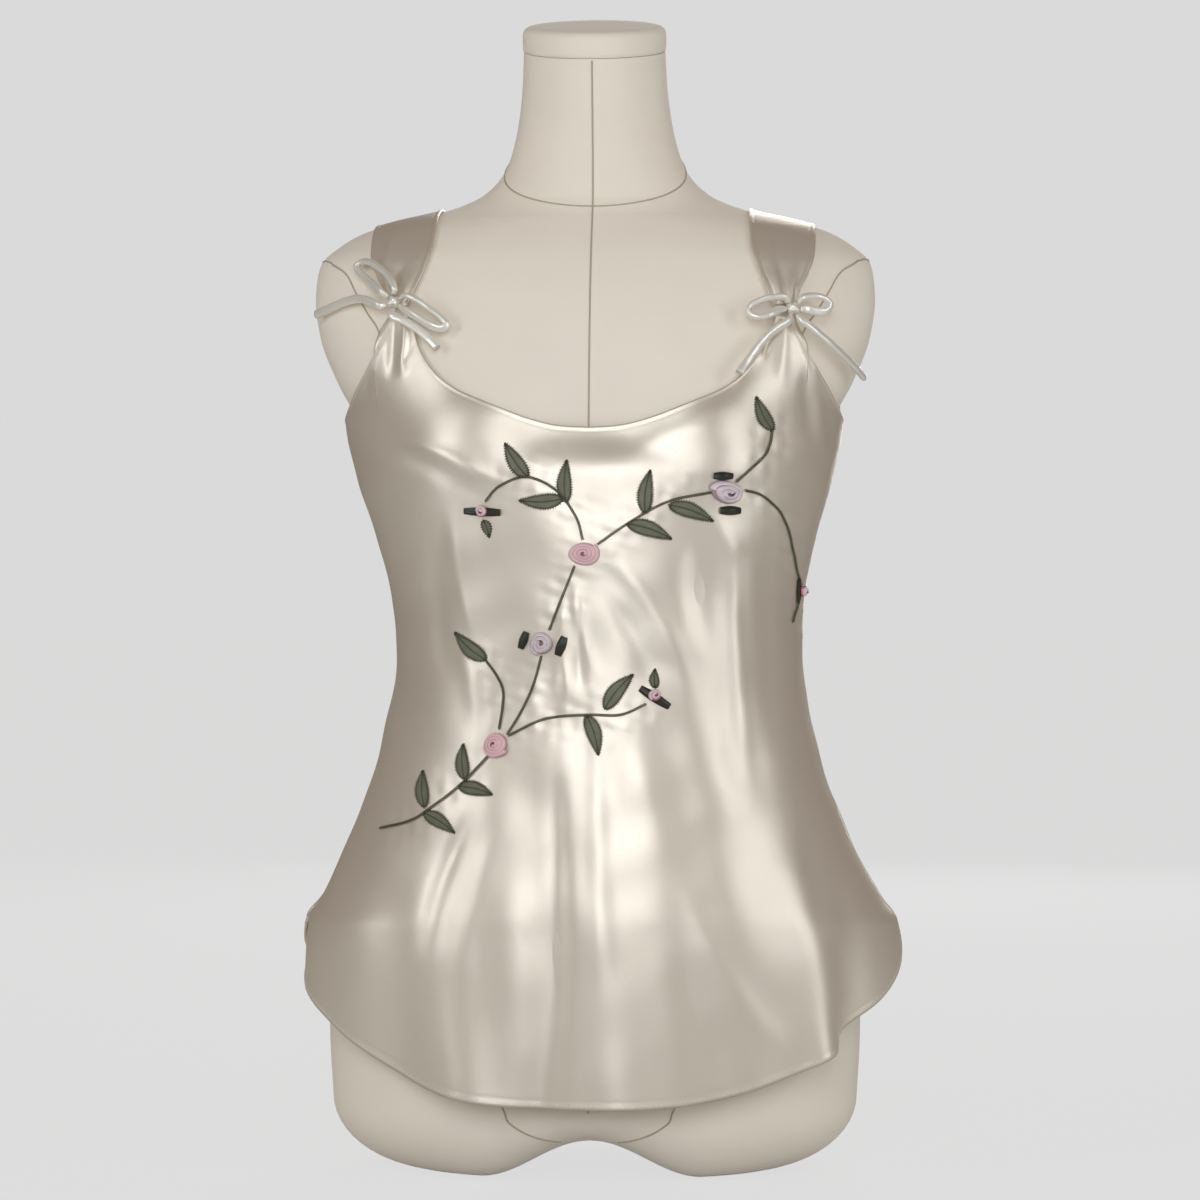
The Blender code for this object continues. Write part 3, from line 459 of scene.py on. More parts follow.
def join_tubes(grids):
    """Points and faces of several tube grids as one mesh."""
    points, faces, first = [], [], 0
    for grid in grids:
        faces += tube_faces(grid.shape[0], grid.shape[1], first)
        first += grid.shape[0] * grid.shape[1]
        points.append(grid.reshape(-1, 3))
    return np.concatenate(points), faces


bend = smooth_route([(0, 0), (1, 0), (1, 1)], 0.1)
print(f"a route round one corner gets {len(bend)} points and is {whole_length(bend):.2f} long")

# %% [markdown]
# ## Finishes
# Satin floats its warp over several picks, so it shines like a soft metal and hardly shows its
# weave. Jersey is matt and shows a fine knit. Embroidery thread and ribbon shine a little. Each
# finish is one shader with a little noise in its colour and a fine relief. Noise is read from the
# object's own coordinates, so it stays on the cloth.

# %% Materials
GRAIN_HEIGHT = 0.0004


def finish_of(name, colour, rough, metal=0.0, grain=900.0, relief=0.05, mottle=0.04, sheen=0.0,
              painted_shade_colour=None, painted_shade_from=0.5, patch=14.0):
    """Principled shader whose colour varies softly and whose surface has a fine grain.

    With a painted shade colour, the second number of the piece's UV layer mixes it in: 0 is the
    plain colour, 1 the painted shade colour, for shade in creases, grooves and gaps.
    """
    made = bpy.data.materials.new(name)
    made.use_nodes = True
    tree = made.node_tree
    shader = tree.nodes["Principled BSDF"]
    shader.inputs["Roughness"].default_value = rough
    shader.inputs["Metallic"].default_value = metal
    shader.inputs["Sheen Weight"].default_value = sheen
    place = tree.nodes.new("ShaderNodeTexCoord")
    fine = tree.nodes.new("ShaderNodeTexNoise")
    fine.inputs["Scale"].default_value = grain
    fine.inputs["Detail"].default_value = 3.0
    broad = tree.nodes.new("ShaderNodeTexNoise")
    broad.inputs["Scale"].default_value = patch
    broad.inputs["Detail"].default_value = 2.0
    bump = tree.nodes.new("ShaderNodeBump")
    bump.inputs["Strength"].default_value = relief
    bump.inputs["Distance"].default_value = GRAIN_HEIGHT
    mix = tree.nodes.new("ShaderNodeMix")
    mix.data_type = "RGBA"
    mix.inputs["A"].default_value = (*[c * (1 - mottle) for c in colour], 1.0)
    mix.inputs["B"].default_value = (*[min(1.0, c * (1 + mottle)) for c in colour], 1.0)
    link = tree.links.new
    link(place.outputs["Object"], fine.inputs["Vector"])
    link(place.outputs["Object"], broad.inputs["Vector"])
    link(broad.outputs["Fac"], mix.inputs["Factor"])
    link(fine.outputs["Fac"], bump.inputs["Height"])
    link(bump.outputs["Normal"], shader.inputs["Normal"])
    colour_out = mix.outputs["Result"]
    # Painted light and shade: the UV layer's second number mixes in a darker colour, painted shade for
    # creases, grooves and gaps between stitches.
    if painted_shade_colour:
        layer = tree.nodes.new("ShaderNodeUVMap")
        layer.uv_map = "along_across"
        split = tree.nodes.new("ShaderNodeSeparateXYZ")
        ramp = tree.nodes.new("ShaderNodeMapRange")
        ramp.inputs["From Min"].default_value = painted_shade_from
        edge = tree.nodes.new("ShaderNodeMix")
        edge.data_type = "RGBA"
        edge.inputs["B"].default_value = (*painted_shade_colour, 1.0)
        link(layer.outputs["UV"], split.inputs["Vector"])
        link(split.outputs["Y"], ramp.inputs["Value"])
        link(ramp.outputs["Result"], edge.inputs["Factor"])
        link(colour_out, edge.inputs["A"])
        colour_out = edge.outputs["Result"]
    link(colour_out, shader.inputs["Base Color"])
    return made


SATIN = finish_of("satin", (0.79, 0.705, 0.605), 0.385, metal=0.64, grain=2900, relief=0.17, mottle=0.02)
ROULEAU = finish_of("rouleau_satin", (0.90, 0.87, 0.80), 0.32, metal=0.45, grain=1500, relief=0.08)
JERSEY = finish_of("jersey", (0.93, 0.835, 0.720), 0.85, grain=700, relief=0.10, mottle=0.05, sheen=0.15)
# Seam welts: a darker tan for the seam line, with painted shade for the groove it stands for.
SEAM_AND_SHADE = finish_of("jersey_seam_and_shade", (0.50, 0.42, 0.33), 0.90, grain=700, relief=0.10)
# Ribbons: the plain colour is the ribbon's fold with a painted highlight, and the second colour is painted
# shade for the creases between turns.
PINK = finish_of("pink_ribbon", (1.0, 0.75, 0.765), 0.36, grain=1200, relief=0.08,
                 painted_shade_colour=(0.62, 0.26, 0.31), painted_shade_from=0.0)
PALE = finish_of("pale_ribbon", (0.94, 0.86, 0.89), 0.34, grain=1200, relief=0.08,
                 painted_shade_colour=(0.46, 0.28, 0.34), painted_shade_from=0.0)
BUD = finish_of("bud_ribbon", (0.84, 0.74, 0.75), 0.34, grain=1200, relief=0.08,
                painted_shade_colour=(0.60, 0.07, 0.18), painted_shade_from=0.28)
GREEN = finish_of("green_ribbon", (0.020, 0.022, 0.012), 0.28, grain=1500, relief=0.08)
# Leaf thread: its second colour is painted shade in the vein's groove and in the gaps between stitches.
LEAF = finish_of("leaf_thread", (0.165, 0.168, 0.105), 0.45, grain=1500, relief=0.12, mottle=0.35,
                 painted_shade_colour=(0.038, 0.036, 0.020), painted_shade_from=0.5, patch=200.0)
DARK = finish_of("dark_thread", (0.032, 0.030, 0.018), 0.45, grain=1500, relief=0.12, mottle=0.25)
OLIVE = finish_of("olive_thread", (0.105, 0.092, 0.052), 0.42, grain=1500, relief=0.12, mottle=0.25)
HEM_THREAD = finish_of("hem_thread", (0.80, 0.77, 0.70), 0.45, grain=1500, relief=0.05)
print(f"{len(bpy.data.materials)} materials")

# %% [markdown]
# ## The bows
# Each strap is tied with a rouleau, a narrow bias tube that is turned right side out and pressed a
# little flat. A round tube would look like wire. So the section is a flattened one, thin in the
# middle and full at both edges, where the seam allowance fills it. It turns with the route. The
# tails show their flat side, and the loops turn on edge for a part of their way, as a tied band does.

# %% Routes of the tails and loops
GATHER_X, GATHER_LEVEL, GATHER_WIDTH = 0.1265, 0.5755, 0.0165
KNOT_RADIUS, KNOT_GAP, KNOT_SEAT = 0.0046, 0.00075, 0.0009
ROULEAU_WIDTH, ROULEAU_THICK, ROULEAU_AROUND = 0.0058, 0.0044, 20
DIP, DIP_REACH = 0.14, 0.45
MOUTH, MOUTH_DEPTH, NECK, NECK_REACH = 0.62, 0.0015, 0.62, 0.10
PUCKER, PUCKER_STEP, PUCKER_BEAT = 0.05, 0.0031, 17
Knot = namedtuple("Knot", "x z")
KNOTS = {"left": Knot(-0.1275, 0.5765), "right": Knot(0.1305, 0.5715)}
TAILS = {
    "bow_left_tail_side": [
        (-139, -77, 576), (-146, -71, 579.5), (-155, -63, 582), (-165, -54.5, 580.5),
        (-176, -45, 577), (-186, -34, 574),
    ],
    "bow_left_tail_front": [
        (-130.5, -81, 569.5), (-123, -84, 566), (-115.5, -86, 561.5), (-109, -88, 556.5),
        (-104, -90, 551.5), (-100, -92.5, 547),
    ],
    "bow_right_tail_front": [
        (130.5, -82, 565), (123, -86, 560), (116, -90, 554), (110, -94, 547),
        (104, -99, 538.5), (98, -105, 529.5),
    ],
    "bow_right_tail_side": [
        (138.5, -79.5, 566), (145, -77, 561.5), (152, -73, 556), (160, -67, 549.5),
        (168, -58, 542.5), (175, -47, 536.5), (181, -33, 531),
    ],
}
LOOPS = {
    "bow_left_loop_upper": [
        (-138, -77.5, 585), (-143.5, -69, 590), (-149, -60.5, 595), (-155, -54, 600),
        (-157, -51, 604.5), (-153, -53, 607.5), (-147, -58, 606.5), (-140, -64.5, 602),
        (-133.5, -71, 595.5), (-129.5, -77.5, 588),
    ],
    "bow_left_loop_front": [
        (-121, -82, 582.5), (-114, -85.5, 579.5), (-106, -87, 574), (-98, -89, 568),
        (-94, -90, 563), (-98, -91, 560), (-106, -90.5, 563), (-114.5, -88, 568.5),
        (-122, -83, 573),
    ],
    "bow_right_loop_front": [
        (127.5, -81, 580.5), (119, -84, 580), (111, -86, 577.5), (105, -88, 574),
        (105, -89.5, 569.5), (111, -90, 567.5), (118, -88, 569.5), (124.5, -82.5, 572.5),
    ],
    "bow_right_loop_side": [
        (139.5, -78.5, 580.5), (147, -76.5, 582), (154, -73.5, 580.5), (158, -71.5, 576.5),
        (155, -73.5, 572), (149, -76.5, 571.5), (142.5, -78.5, 573),
    ],
}

ROLLS = {
    "bow_left_tail_side": (0.5, 0.25), "bow_left_tail_front": (0.3, 0.1),
    "bow_right_tail_front": (0.7, -0.2), "bow_right_tail_side": (0.3, 0.1),
    "bow_left_loop_upper": (0.2, 1.5), "bow_left_loop_front": (1.5, 0.5),
    "bow_right_loop_front": (1.4, 0.1), "bow_right_loop_side": (1.3, 0.2),
}


def knot_middle(side):
    """Middle of a knot that rests on the ridges of its gather."""
    seat = KNOTS[side]
    out = WALL + KNOT_SEAT + SEAM_GAP + KNOT_RADIUS
    return moved_out(cloth_point, angle_seen(seat.x, seat.z), seat.z, out)


def leave_knot(knot, towards):
    """Point just clear of the knot, on the way to a route's first point."""
    way = towards - knot
    return knot + way / np.linalg.norm(way) * (KNOT_RADIUS + KNOT_GAP)


def narrowed(far):
    """Share of a tube's full size at `far` of its way from a knot, 0.62 at the knot itself."""
    return NECK + (1 - NECK) * np.clip(far / NECK_REACH, 0, 1)


def rouleau_grid(route, roll, open_end):
    """Flattened tube: half thickness (1 - 0.14 exp(-(u/0.45)^2)) sqrt(1 - u^2) over the width u.

    `roll` gives the turn of the flat side away from the viewer, in radians, at the start and the
    end. An open end is a last ring that goes back inside the tube.
    """
    turn = np.linspace(0, 2 * math.pi, ROULEAU_AROUND, endpoint=False)
    way, across, out = frame_along(route, 0.0, 0.02)
    far = np.linspace(0, 1, len(route))
    turned = (roll[0] + (roll[1] - roll[0]) * far)[:, None]
    flat = np.cos(turned) * across + np.sin(turned) * out
    thin = np.cos(turned) * out - np.sin(turned) * across
    pucker = np.sin(far * whole_length(route) / PUCKER_STEP) * np.sin(far * PUCKER_BEAT)
    swell = narrowed(far) * (1 + PUCKER * pucker)
    if not open_end:
        swell = swell * narrowed(1 - far)
    u = np.cos(turn)
    half = np.sin(turn) * (1 - DIP * np.exp(-((u / DIP_REACH) ** 2)))
    wide = ROULEAU_WIDTH / 2 * swell[:, None] * u
    high = ROULEAU_THICK / 2 * swell[:, None] * half
    grid = route[:, None] + wide[..., None] * flat[:, None] + high[..., None] * thin[:, None]
    inner = route[-1] + MOUTH * (grid[-1] - route[-1]) - way[-1] * (MOUTH_DEPTH if open_end else 0.0)
    return np.concatenate([grid, inner[None]])


def build_bow_tube(name, listed, is_loop):
    """One tail or loop: its route and its mesh."""
    knot = knot_middle("left" if "left" in name else "right")
    listed = np.array(listed) / 1000
    points = [leave_knot(knot, listed[0]), *listed]
    if is_loop:
        points.append(leave_knot(knot, listed[-1]))
    route = smooth_route(points, 0.0010)
    grid = rouleau_grid(route, ROLLS[name], open_end=not is_loop)
    faces = tube_faces(*grid.shape[:2])
    return make_piece(name + "_cord", grid, faces, ROULEAU, [name]), route


for table in (TAILS, LOOPS):
    for name, listed in table.items():
        piece, route = build_bow_tube(name, listed, table is LOOPS)

# %% [markdown]
# ## The knots
# A pulled knot shows two or three turns of the tube that cross each other. Winding a real knot
# would need a long route in a small space. The same look comes from a ball whose surface is the
# upper envelope of three bands, each a bell around its own great circle.

# %% Knots
Band = namedtuple("Band", "x y z wide")
KNOT_BANDS = [
    Band(0.85, 0.30, 0.42, 0.42), Band(-0.62, 0.35, 0.70, 0.40), Band(0.15, 0.25, -0.95, 0.36),
]
KNOT_RINGS, KNOT_AROUND, KNOT_POLE = 45, 60, 0.04
KNOT_CORE, KNOT_RISE, KNOT_STRETCH = 0.62, 0.36, (1.12, 0.92, 1.0)


def build_knot(side):
    """Ball of 0.62 R + 0.36 R times the highest of the bands' bells exp(-(d.n / wide)^2)."""
    rings = np.linspace(KNOT_POLE, math.pi - KNOT_POLE, KNOT_RINGS)
    around = np.linspace(0, 2 * math.pi, KNOT_AROUND, endpoint=False)
    polar, turn = np.meshgrid(rings, around, indexing="ij")
    way = np.stack([np.sin(polar) * np.sin(turn), -np.sin(polar) * np.cos(turn), np.cos(polar)], -1)
    mirror = np.array([1.0 if side == "left" else -1.0, 1.0, 1.0])
    bells = [
        np.exp(-(((way * mirror) @ unit(np.array(band[:3])) / band.wide) ** 2)) for band in KNOT_BANDS
    ]
    radius = KNOT_RADIUS * (KNOT_CORE + KNOT_RISE * np.maximum.reduce(bells))
    grid = knot_middle(side) + way * radius[..., None] * KNOT_STRETCH
    faces = [*sheet_quads(KNOT_RINGS, KNOT_AROUND, closed=True), tuple(range(KNOT_AROUND))[::-1]]
    faces.append(tuple(range((KNOT_RINGS - 1) * KNOT_AROUND, KNOT_RINGS * KNOT_AROUND)))
    return make_piece(f"bow_{side}_wrap", grid, faces, ROULEAU, [f"bow_{side}_knot"])


for side in KNOTS:
    build_knot(side)

# %% [markdown]
# ## The dress form
# The form is a shell that is covered with cream jersey. Its cover is one smooth surface: the
# sections above the leg ends, then a quarter round that turns under to the flat base, with a
# shallow arch between the legs. The neck carries a turned cap. Seams are thin welts. They are
# tubes half sunk in the cover, because a groove would need a far finer mesh everywhere.

# %% The form's cover
RIM_LEVEL, FLAT_SHARE = 0.048, 0.62
ARCH_HEIGHT, ARCH_REACH = 0.026, 0.075
COVER_AROUND, COVER_ROWS, UNDER_ROWS = 180, 190, 14


def arch_height(x):
    """Underside between the leg ends: a squared cosine that is flat outside its reach."""
    return ARCH_HEIGHT * np.cos(0.5 * math.pi * np.clip(np.abs(x) / ARCH_REACH, 0, 1)) ** 2


def under_point(angle, share):
    """Point of the rounded underside, `share` of the way out from the middle."""
    rim = form_point(angle, np.full(np.shape(angle), RIM_LEVEL))
    flat = rim * np.stack(np.broadcast_arrays(share, share, 1.0), -1)
    arch = arch_height(flat[..., 0])
    inward = np.clip((share - FLAT_SHARE) / (1 - FLAT_SHARE), 0, 1)
    flat[..., 2] = arch + (RIM_LEVEL - arch) * (1 - np.sqrt(1 - inward**2))
    return flat


def build_form_cover():
    """Rings of the form from the neck's top down and under to the middle."""
    even = np.linspace(0, 2 * math.pi, COVER_AROUND, endpoint=False)
    heights = np.linspace(FORM[0].height, FORM[-1].height, 400)
    wide = smooth(FORM, "half_width", heights)
    levels = even_along(np.stack([heights, 4 * wide], -1), COVER_ROWS)[::-1, 0]
    half, front = smooth(FORM, "half_width", levels), smooth(FORM, "front", levels)
    back = smooth(FORM, "back", levels)
    depth = np.where(np.cos(even) > 0, front[:, None], back[:, None])
    angle = np.arctan2(half[:, None] * np.sin(even), depth * np.cos(even))
    body = form_point(angle, np.repeat(levels[:, None], COVER_AROUND, axis=1))
    bend = np.linspace(0, 0.5 * math.pi, UNDER_ROWS)[1:]
    shares = np.concatenate([FLAT_SHARE + (1 - FLAT_SHARE) * np.cos(bend), [0.5, 0.38, 0.25, 0.12]])
    under = under_point(np.repeat(angle[-1:], len(shares), axis=0), shares[:, None])
    grid = np.concatenate([body, under])
    faces = tube_faces(len(grid), COVER_AROUND)
    return make_piece("form_cover", grid, faces, JERSEY, ["form_body"], smooth_angle=60)


build_form_cover()

# %% The neck cap
NECK_TILT, CAP_RADIUS, CAP_HEIGHT, CAP_AROUND = 0.26, 0.0487, 0.0172, 96
Turned = namedtuple("Turned", "radius height")
CAP = [
    Turned(1e-5, CAP_HEIGHT),
    Turned(CAP_RADIUS - 0.0200, CAP_HEIGHT),
    Turned(CAP_RADIUS - 0.0060, CAP_HEIGHT - 0.0002),
    Turned(CAP_RADIUS - 0.0034, CAP_HEIGHT - 0.0008),
    Turned(CAP_RADIUS - 0.0014, CAP_HEIGHT - 0.0022),
    Turned(CAP_RADIUS - 0.0003, CAP_HEIGHT - 0.0042),
    Turned(CAP_RADIUS, CAP_HEIGHT - 0.0065),
    Turned(CAP_RADIUS, 0.0030),
    Turned(CAP_RADIUS - 0.0003, 0.0012),
    Turned(CAP_RADIUS - 0.0014, 0.0),
    Turned(CAP_RADIUS - 0.0100, 0.0),
]


def build_cap():
    """Turned disc on the neck's flat top, tilted with it."""
    turn = np.linspace(0, 2 * math.pi, CAP_AROUND, endpoint=False)
    radius = np.array([row.radius for row in CAP])[:, None]
    height = np.array([row.height for row in CAP])[:, None]
    flat = np.stack(np.broadcast_arrays(radius * np.sin(turn), -radius * np.cos(turn), height), -1)
    tilt, neck = math.atan(NECK_TILT), FORM[-1]
    cos, sin = math.cos(tilt), math.sin(tilt)
    grid = np.stack([flat[..., 0], flat[..., 1] * cos - flat[..., 2] * sin,
                     flat[..., 1] * sin + flat[..., 2] * cos], -1)
    grid = grid + (0.0, neck.centre - SEAM_GAP * sin, neck.height + SEAM_GAP * cos)
    last = (len(grid) - 1) * CAP_AROUND
    faces = [*sheet_quads(len(grid), CAP_AROUND, closed=True)]
    faces.append(tuple(range(last, last + CAP_AROUND))[::-1])
    return make_piece("neck_cap_cover", grid, faces, JERSEY, ["form_neck_cap"],
                      smooth_angle=40)


build_cap()

# %% Seams of the cover
def outside_form(x, y, z):
    """Distance of a point outside the form's section, negative inside."""
    level = z
    for _ in range(4):
        back = y - smooth(FORM, "centre", level)
        level = z - smooth(FORM, "tilt", level) * back
    back = y - smooth(FORM, "centre", level)
    return np.hypot(x, back) - form_radius(np.arctan2(x, -back), level)


WELT = 0.0006
NECK_SEAM, NECK_SEAM_RISE = 0.6515, 0.0261
MIDDLE_TOP, MIDDLE_FOOT, MIDDLE_STEPS = 0.7530, 0.0490, 300
ArmSeam = namedtuple("ArmSeam", "angle level")
ARM_SEAM = [
    ArmSeam(80.7, 0.6095), ArmSeam(75.6, 0.6008), ArmSeam(71.5, 0.5856), ArmSeam(68.2, 0.5728),
    ArmSeam(65.0, 0.5610), ArmSeam(62.8, 0.5450), ArmSeam(64.0, 0.5270), ArmSeam(70.0, 0.5100),
    ArmSeam(80.0, 0.5000), ArmSeam(91.0, 0.4970), ArmSeam(102.0, 0.5000), ArmSeam(112.0, 0.5120),
    ArmSeam(118.0, 0.5300), ArmSeam(119.0, 0.5520), ArmSeam(116.0, 0.5750), ArmSeam(110.0, 0.5920),
    ArmSeam(101.0, 0.6040), ArmSeam(92.0, 0.6110), ArmSeam(85.0, 0.6120), ArmSeam(80.7, 0.6095),
]
LEG_SEAM = [(-26.5, 1.0), (-22.5, 0.985), (-18.0, 0.955), (-14.0, 0.91), (-11.0, 0.86)]
LEG_SEAM_TOP = [(29.0, 0.066), (28.4, 0.060), (27.6, 0.054)]

around_neck = np.linspace(0, 2 * math.pi, 121)
neck_level = NECK_SEAM + NECK_SEAM_RISE * (1 - np.cos(around_neck))
seam_grids = [tube_along(form_point(around_neck, neck_level), WELT)]
down_middle = np.linspace(MIDDLE_TOP, MIDDLE_FOOT, MIDDLE_STEPS)
for middle in (0.0, math.pi):
    seam_grids.append(tube_along(form_point(np.full(MIDDLE_STEPS, middle), down_middle), WELT))
arm = smooth_route([(math.radians(row.angle), row.level) for row in ARM_SEAM], 0.004)
legs, leg_top = smooth_route(LEG_SEAM, 0.4), np.array(LEG_SEAM_TOP)
for side in (-1, 1):
    seam_grids.append(tube_along(form_point(side * arm[:, 0], arm[:, 1]), WELT))
    above = form_point(np.radians(side * leg_top[:, 0]), leg_top[:, 1])
    below = under_point(np.radians(-side * legs[:, 0]), legs[:, 1])
    seam_grids.append(tube_along(np.concatenate([above, below]), WELT))
points, faces = join_tubes(seam_grids)
# The welts are darker tan: the seam line and the painted shade of its groove.
make_piece("form_seams", points, faces, SEAM_AND_SHADE)

# %% [markdown]
# ## Folds in the satin
# Thin satin breaks into long soft folds with quiet stretches between them. A cloth solver would
# give folds, but not these ones. So each fold is a line on the cloth, seen from the front, with a
# bend, a width at both ends and a depth. Its section is a bell, and it fades towards its ends.
# Negative depths are troughs. The back has its own folds of the same kind, and the short folds
# below the two gathers are listed apart.

# %% Folds, in millimetres
Fold = namedtuple("Fold", "x z to_x to_z bow wide wide_end deep")
FRONT_FOLDS = [
    Fold(-128, 487, -54, 452, -5, 4.0, 6.0, 1.3),
    Fold(-122, 476, -70, 446, -4, 7.0, 7.0, -1.2),
    Fold(-88, 442, -72, 352, 3, 6.0, 5.0, 1.1),
    Fold(-101, 425, -92, 330, 2, 8.0, 8.0, -1.2),
    Fold(-83, 358, -72, 300, -2, 5.0, 7.0, 0.9),
    Fold(-9, 396, 5, 334, 3, 3.2, 4.0, 1.1),
    Fold(-16, 383, -12, 316, 2, 3.0, 4.0, 1.0),
    Fold(-4, 376, -3, 322, 2, 3.0, 4.0, -1.2),
    Fold(-24, 372, -24, 300, 0, 5.0, 8.0, -1.3),
    Fold(8, 416, 66, 318, -9, 6.0, 7.0, 1.3),
    Fold(12, 384, 44, 320, -5, 6.0, 9.0, -1.2),
    Fold(72, 428, 78, 345, 4, 8.0, 8.0, -1.5),
    Fold(80, 440, 98, 408, 0, 6.0, 7.0, 1.0),
    Fold(94, 412, 105, 250, 3, 4.0, 7.0, 1.1),
    Fold(116, 420, 122, 280, 4, 8.0, 9.0, -1.3),
    Fold(-74, 246, -106, 146, 5, 5.0, 7.0, -1.4),
    Fold(-56, 240, -84, 120, 4, 8.0, 10.0, 1.0),
    Fold(-21, 282, -20, 72, -2, 6.0, 9.0, -1.4),
    Fold(6, 320, 13, 120, 2, 6.0, 8.0, 1.0),
    Fold(34, 300, 62, 190, 5, 12.0, 14.0, 1.0),
    Fold(62, 200, 128, 88, 8, 8.0, 10.0, 1.1),
    Fold(58, 160, 92, 66, 5, 8.0, 12.0, -1.1),
    Fold(140, 240, 171, 120, 4, 7.0, 9.0, -1.3),
    Fold(-60, 545, -92, 512, 3, 6.0, 8.0, -0.7),
    Fold(58, 500, 112, 540, 3, 6.0, 5.0, -0.7),
    Fold(30, 478, 88, 492, -5, 7.0, 8.0, 0.7),
]
BACK_FOLDS = [
    Fold(-96, 470, -60, 380, 6, 7.0, 6.0, -1.3),
    Fold(-66, 440, -48, 330, 3, 5.0, 6.0, 1.2),
    Fold(-30, 420, -26, 320, -3, 5.0, 6.0, -1.3),
    Fold(-8, 400, -4, 300, 2, 4.0, 6.0, 1.0),
    Fold(18, 430, 26, 318, 3, 6.0, 5.0, -1.2),
    Fold(44, 452, 62, 350, 4, 5.0, 7.0, 1.2),
    Fold(74, 470, 96, 372, 6, 7.0, 7.0, -1.3),
    Fold(-118, 420, -108, 300, -3, 7.0, 8.0, 1.2),
    Fold(112, 410, 106, 300, 3, 6.0, 8.0, 1.1),
    Fold(-84, 250, -108, 120, 5, 6.0, 9.0, -1.3),
    Fold(-40, 300, -52, 130, 4, 7.0, 10.0, 1.2),
    Fold(-6, 280, -12, 96, -4, 6.0, 9.0, -1.3),
    Fold(36, 290, 52, 110, 5, 7.0, 9.0, 1.1),
    Fold(80, 260, 104, 118, 5, 6.0, 10.0, -1.3),
    Fold(0, 500, 48, 478, -4, 7.0, 6.0, 0.8),
    Fold(-70, 505, -20, 470, 5, 6.0, 8.0, -0.8),
]

GATHER_FOLDS = [
    Fold(-130, 567, -131, 527, 0, 3.2, 4.0, -1.3),
    Fold(-121, 566, -123, 528, 0, 2.6, 3.4, 1.4),
    Fold(-117, 552, -122, 536, 0, 1.8, 2.2, -0.8),
    Fold(-136, 560, -145, 528, 2, 2.6, 3.6, 1.2),
    Fold(-133, 556, -151, 514, 2, 2.4, 3.2, -0.6),
    Fold(126, 566, 113, 540, 2, 1.6, 2.4, -1.4),
    Fold(119, 562, 103, 534, 1, 3.0, 4.5, 1.0),
    Fold(128, 566, 124, 522, 0, 3.0, 5.0, 0.9),
    Fold(134, 564, 148, 526, -2, 1.8, 3.0, 1.4),
    Fold(138, 562, 161, 522, -2, 2.0, 2.6, -1.4),
    Fold(141, 536, 144, 486, 1, 4.0, 5.0, -0.9),
    Fold(150, 520, 152, 480, 0, 3.0, 4.0, 0.8),
]
all_folds = FRONT_FOLDS + BACK_FOLDS + GATHER_FOLDS
print(f"{len(all_folds)} folds, the deepest {max(abs(fold.deep) for fold in all_folds)} mm")

# %% Places of the vine, in millimetres
FLOWERS_MM = [
    (-2.5, 412), (89, 451.5), (-29.3, 353.7), (-59, 288), (-68, 439.5), (43, 320), (136, 388.5),
    (86.8, 463), (91, 440), (-41.6, 356), (-16.4, 352),
]
STEMS_MM = {
    "bud_left_to_upper": [(-66.2, 446), (-57, 455.7), (-39.3, 461.5), (-20.5, 453), (-7.6, 436), (-3, 421)],
    "upper_to_side": [(6.6, 418), (25.3, 431), (51, 445.4), (79, 452)],
    "side_to_top": [(95, 459), (111.4, 474), (116.7, 483.4), (118, 492.6)],
    "side_to_right": [(101, 453.6), (111.4, 450.6), (121.3, 442.3), (128, 431.4), (132.2, 415.8),
                      (134.4, 403.3), (137.4, 388.7), (131.8, 367.4)],
    "upper_to_middle": [(-8.2, 404), (-17.3, 381.4), (-24.5, 362.6)],
    "middle_to_lower": [(-29.7, 345.8), (-35, 327), (-42.6, 310), (-51.7, 294.7)],
    "left_sprig": [(-66, 343), (-58.5, 332.7), (-54.5, 322.4), (-55, 311.4), (-57, 298)],
    "lower_to_bud": [(-51, 294), (-27.6, 305), (-0.4, 307.8), (21, 307.8), (37.6, 314.8)],
    "lower_to_hip": [(-63.5, 281), (-82, 262), (-106.3, 242.6), (-119.5, 236), (-138.2, 231)],
}
print(f"{len(STEMS_MM)} stems, {len(FLOWERS_MM)} flowers and ribbons")

# %% Relief of the cloth
FOLD_FADE = 0.42
STITCH_REACH, STITCH_HOLD, STEM_PLACES, FAR_MM = 13.0, 0.8, 12, 1e3
PUCKER_SIZE, DRIFT_SIZE, HANG_SIZE = 11.0, 46.0, 34.0
PUCKER_DEEP, DRIFT_DEEP, HANG_DEEP = 0.42, 0.80, 1.50
CALM_FROM, CALM_OVER, CALM_BY = 235, 110, 0.55
HANG_FROM, HANG_OVER, HANG_LEAN, HANG_STRETCH = 440, 120, 0.12, 0.13
DRAW_BELOW, DRAW_TALL, DRAW_WIDE, DRAW_BY = 0.003, 0.010, 0.030, 0.38


def fold_relief(folds, x, z):
    """Sum of the folds at places in millimetres: depth exp(-(off / width)^2), faded at both ends."""
    total = np.zeros(np.broadcast(x, z).shape)
    for fold in folds:
        run_x, run_z = fold.to_x - fold.x, fold.to_z - fold.z
        length = math.hypot(run_x, run_z)
        along = ((x - fold.x) * run_x + (z - fold.z) * run_z) / length**2
        off = ((x - fold.x) * run_z - (z - fold.z) * run_x) / length
        off = off - fold.bow * (1 - (2 * along - 1) ** 2)
        width = fold.wide + (fold.wide_end - fold.wide) * np.clip(along, 0, 1)
        fade = np.exp(-(((along - 0.5) / FOLD_FADE) ** 4))
        total = total + fold.deep * MM * fade * np.exp(-((off / width) ** 2))
    return total


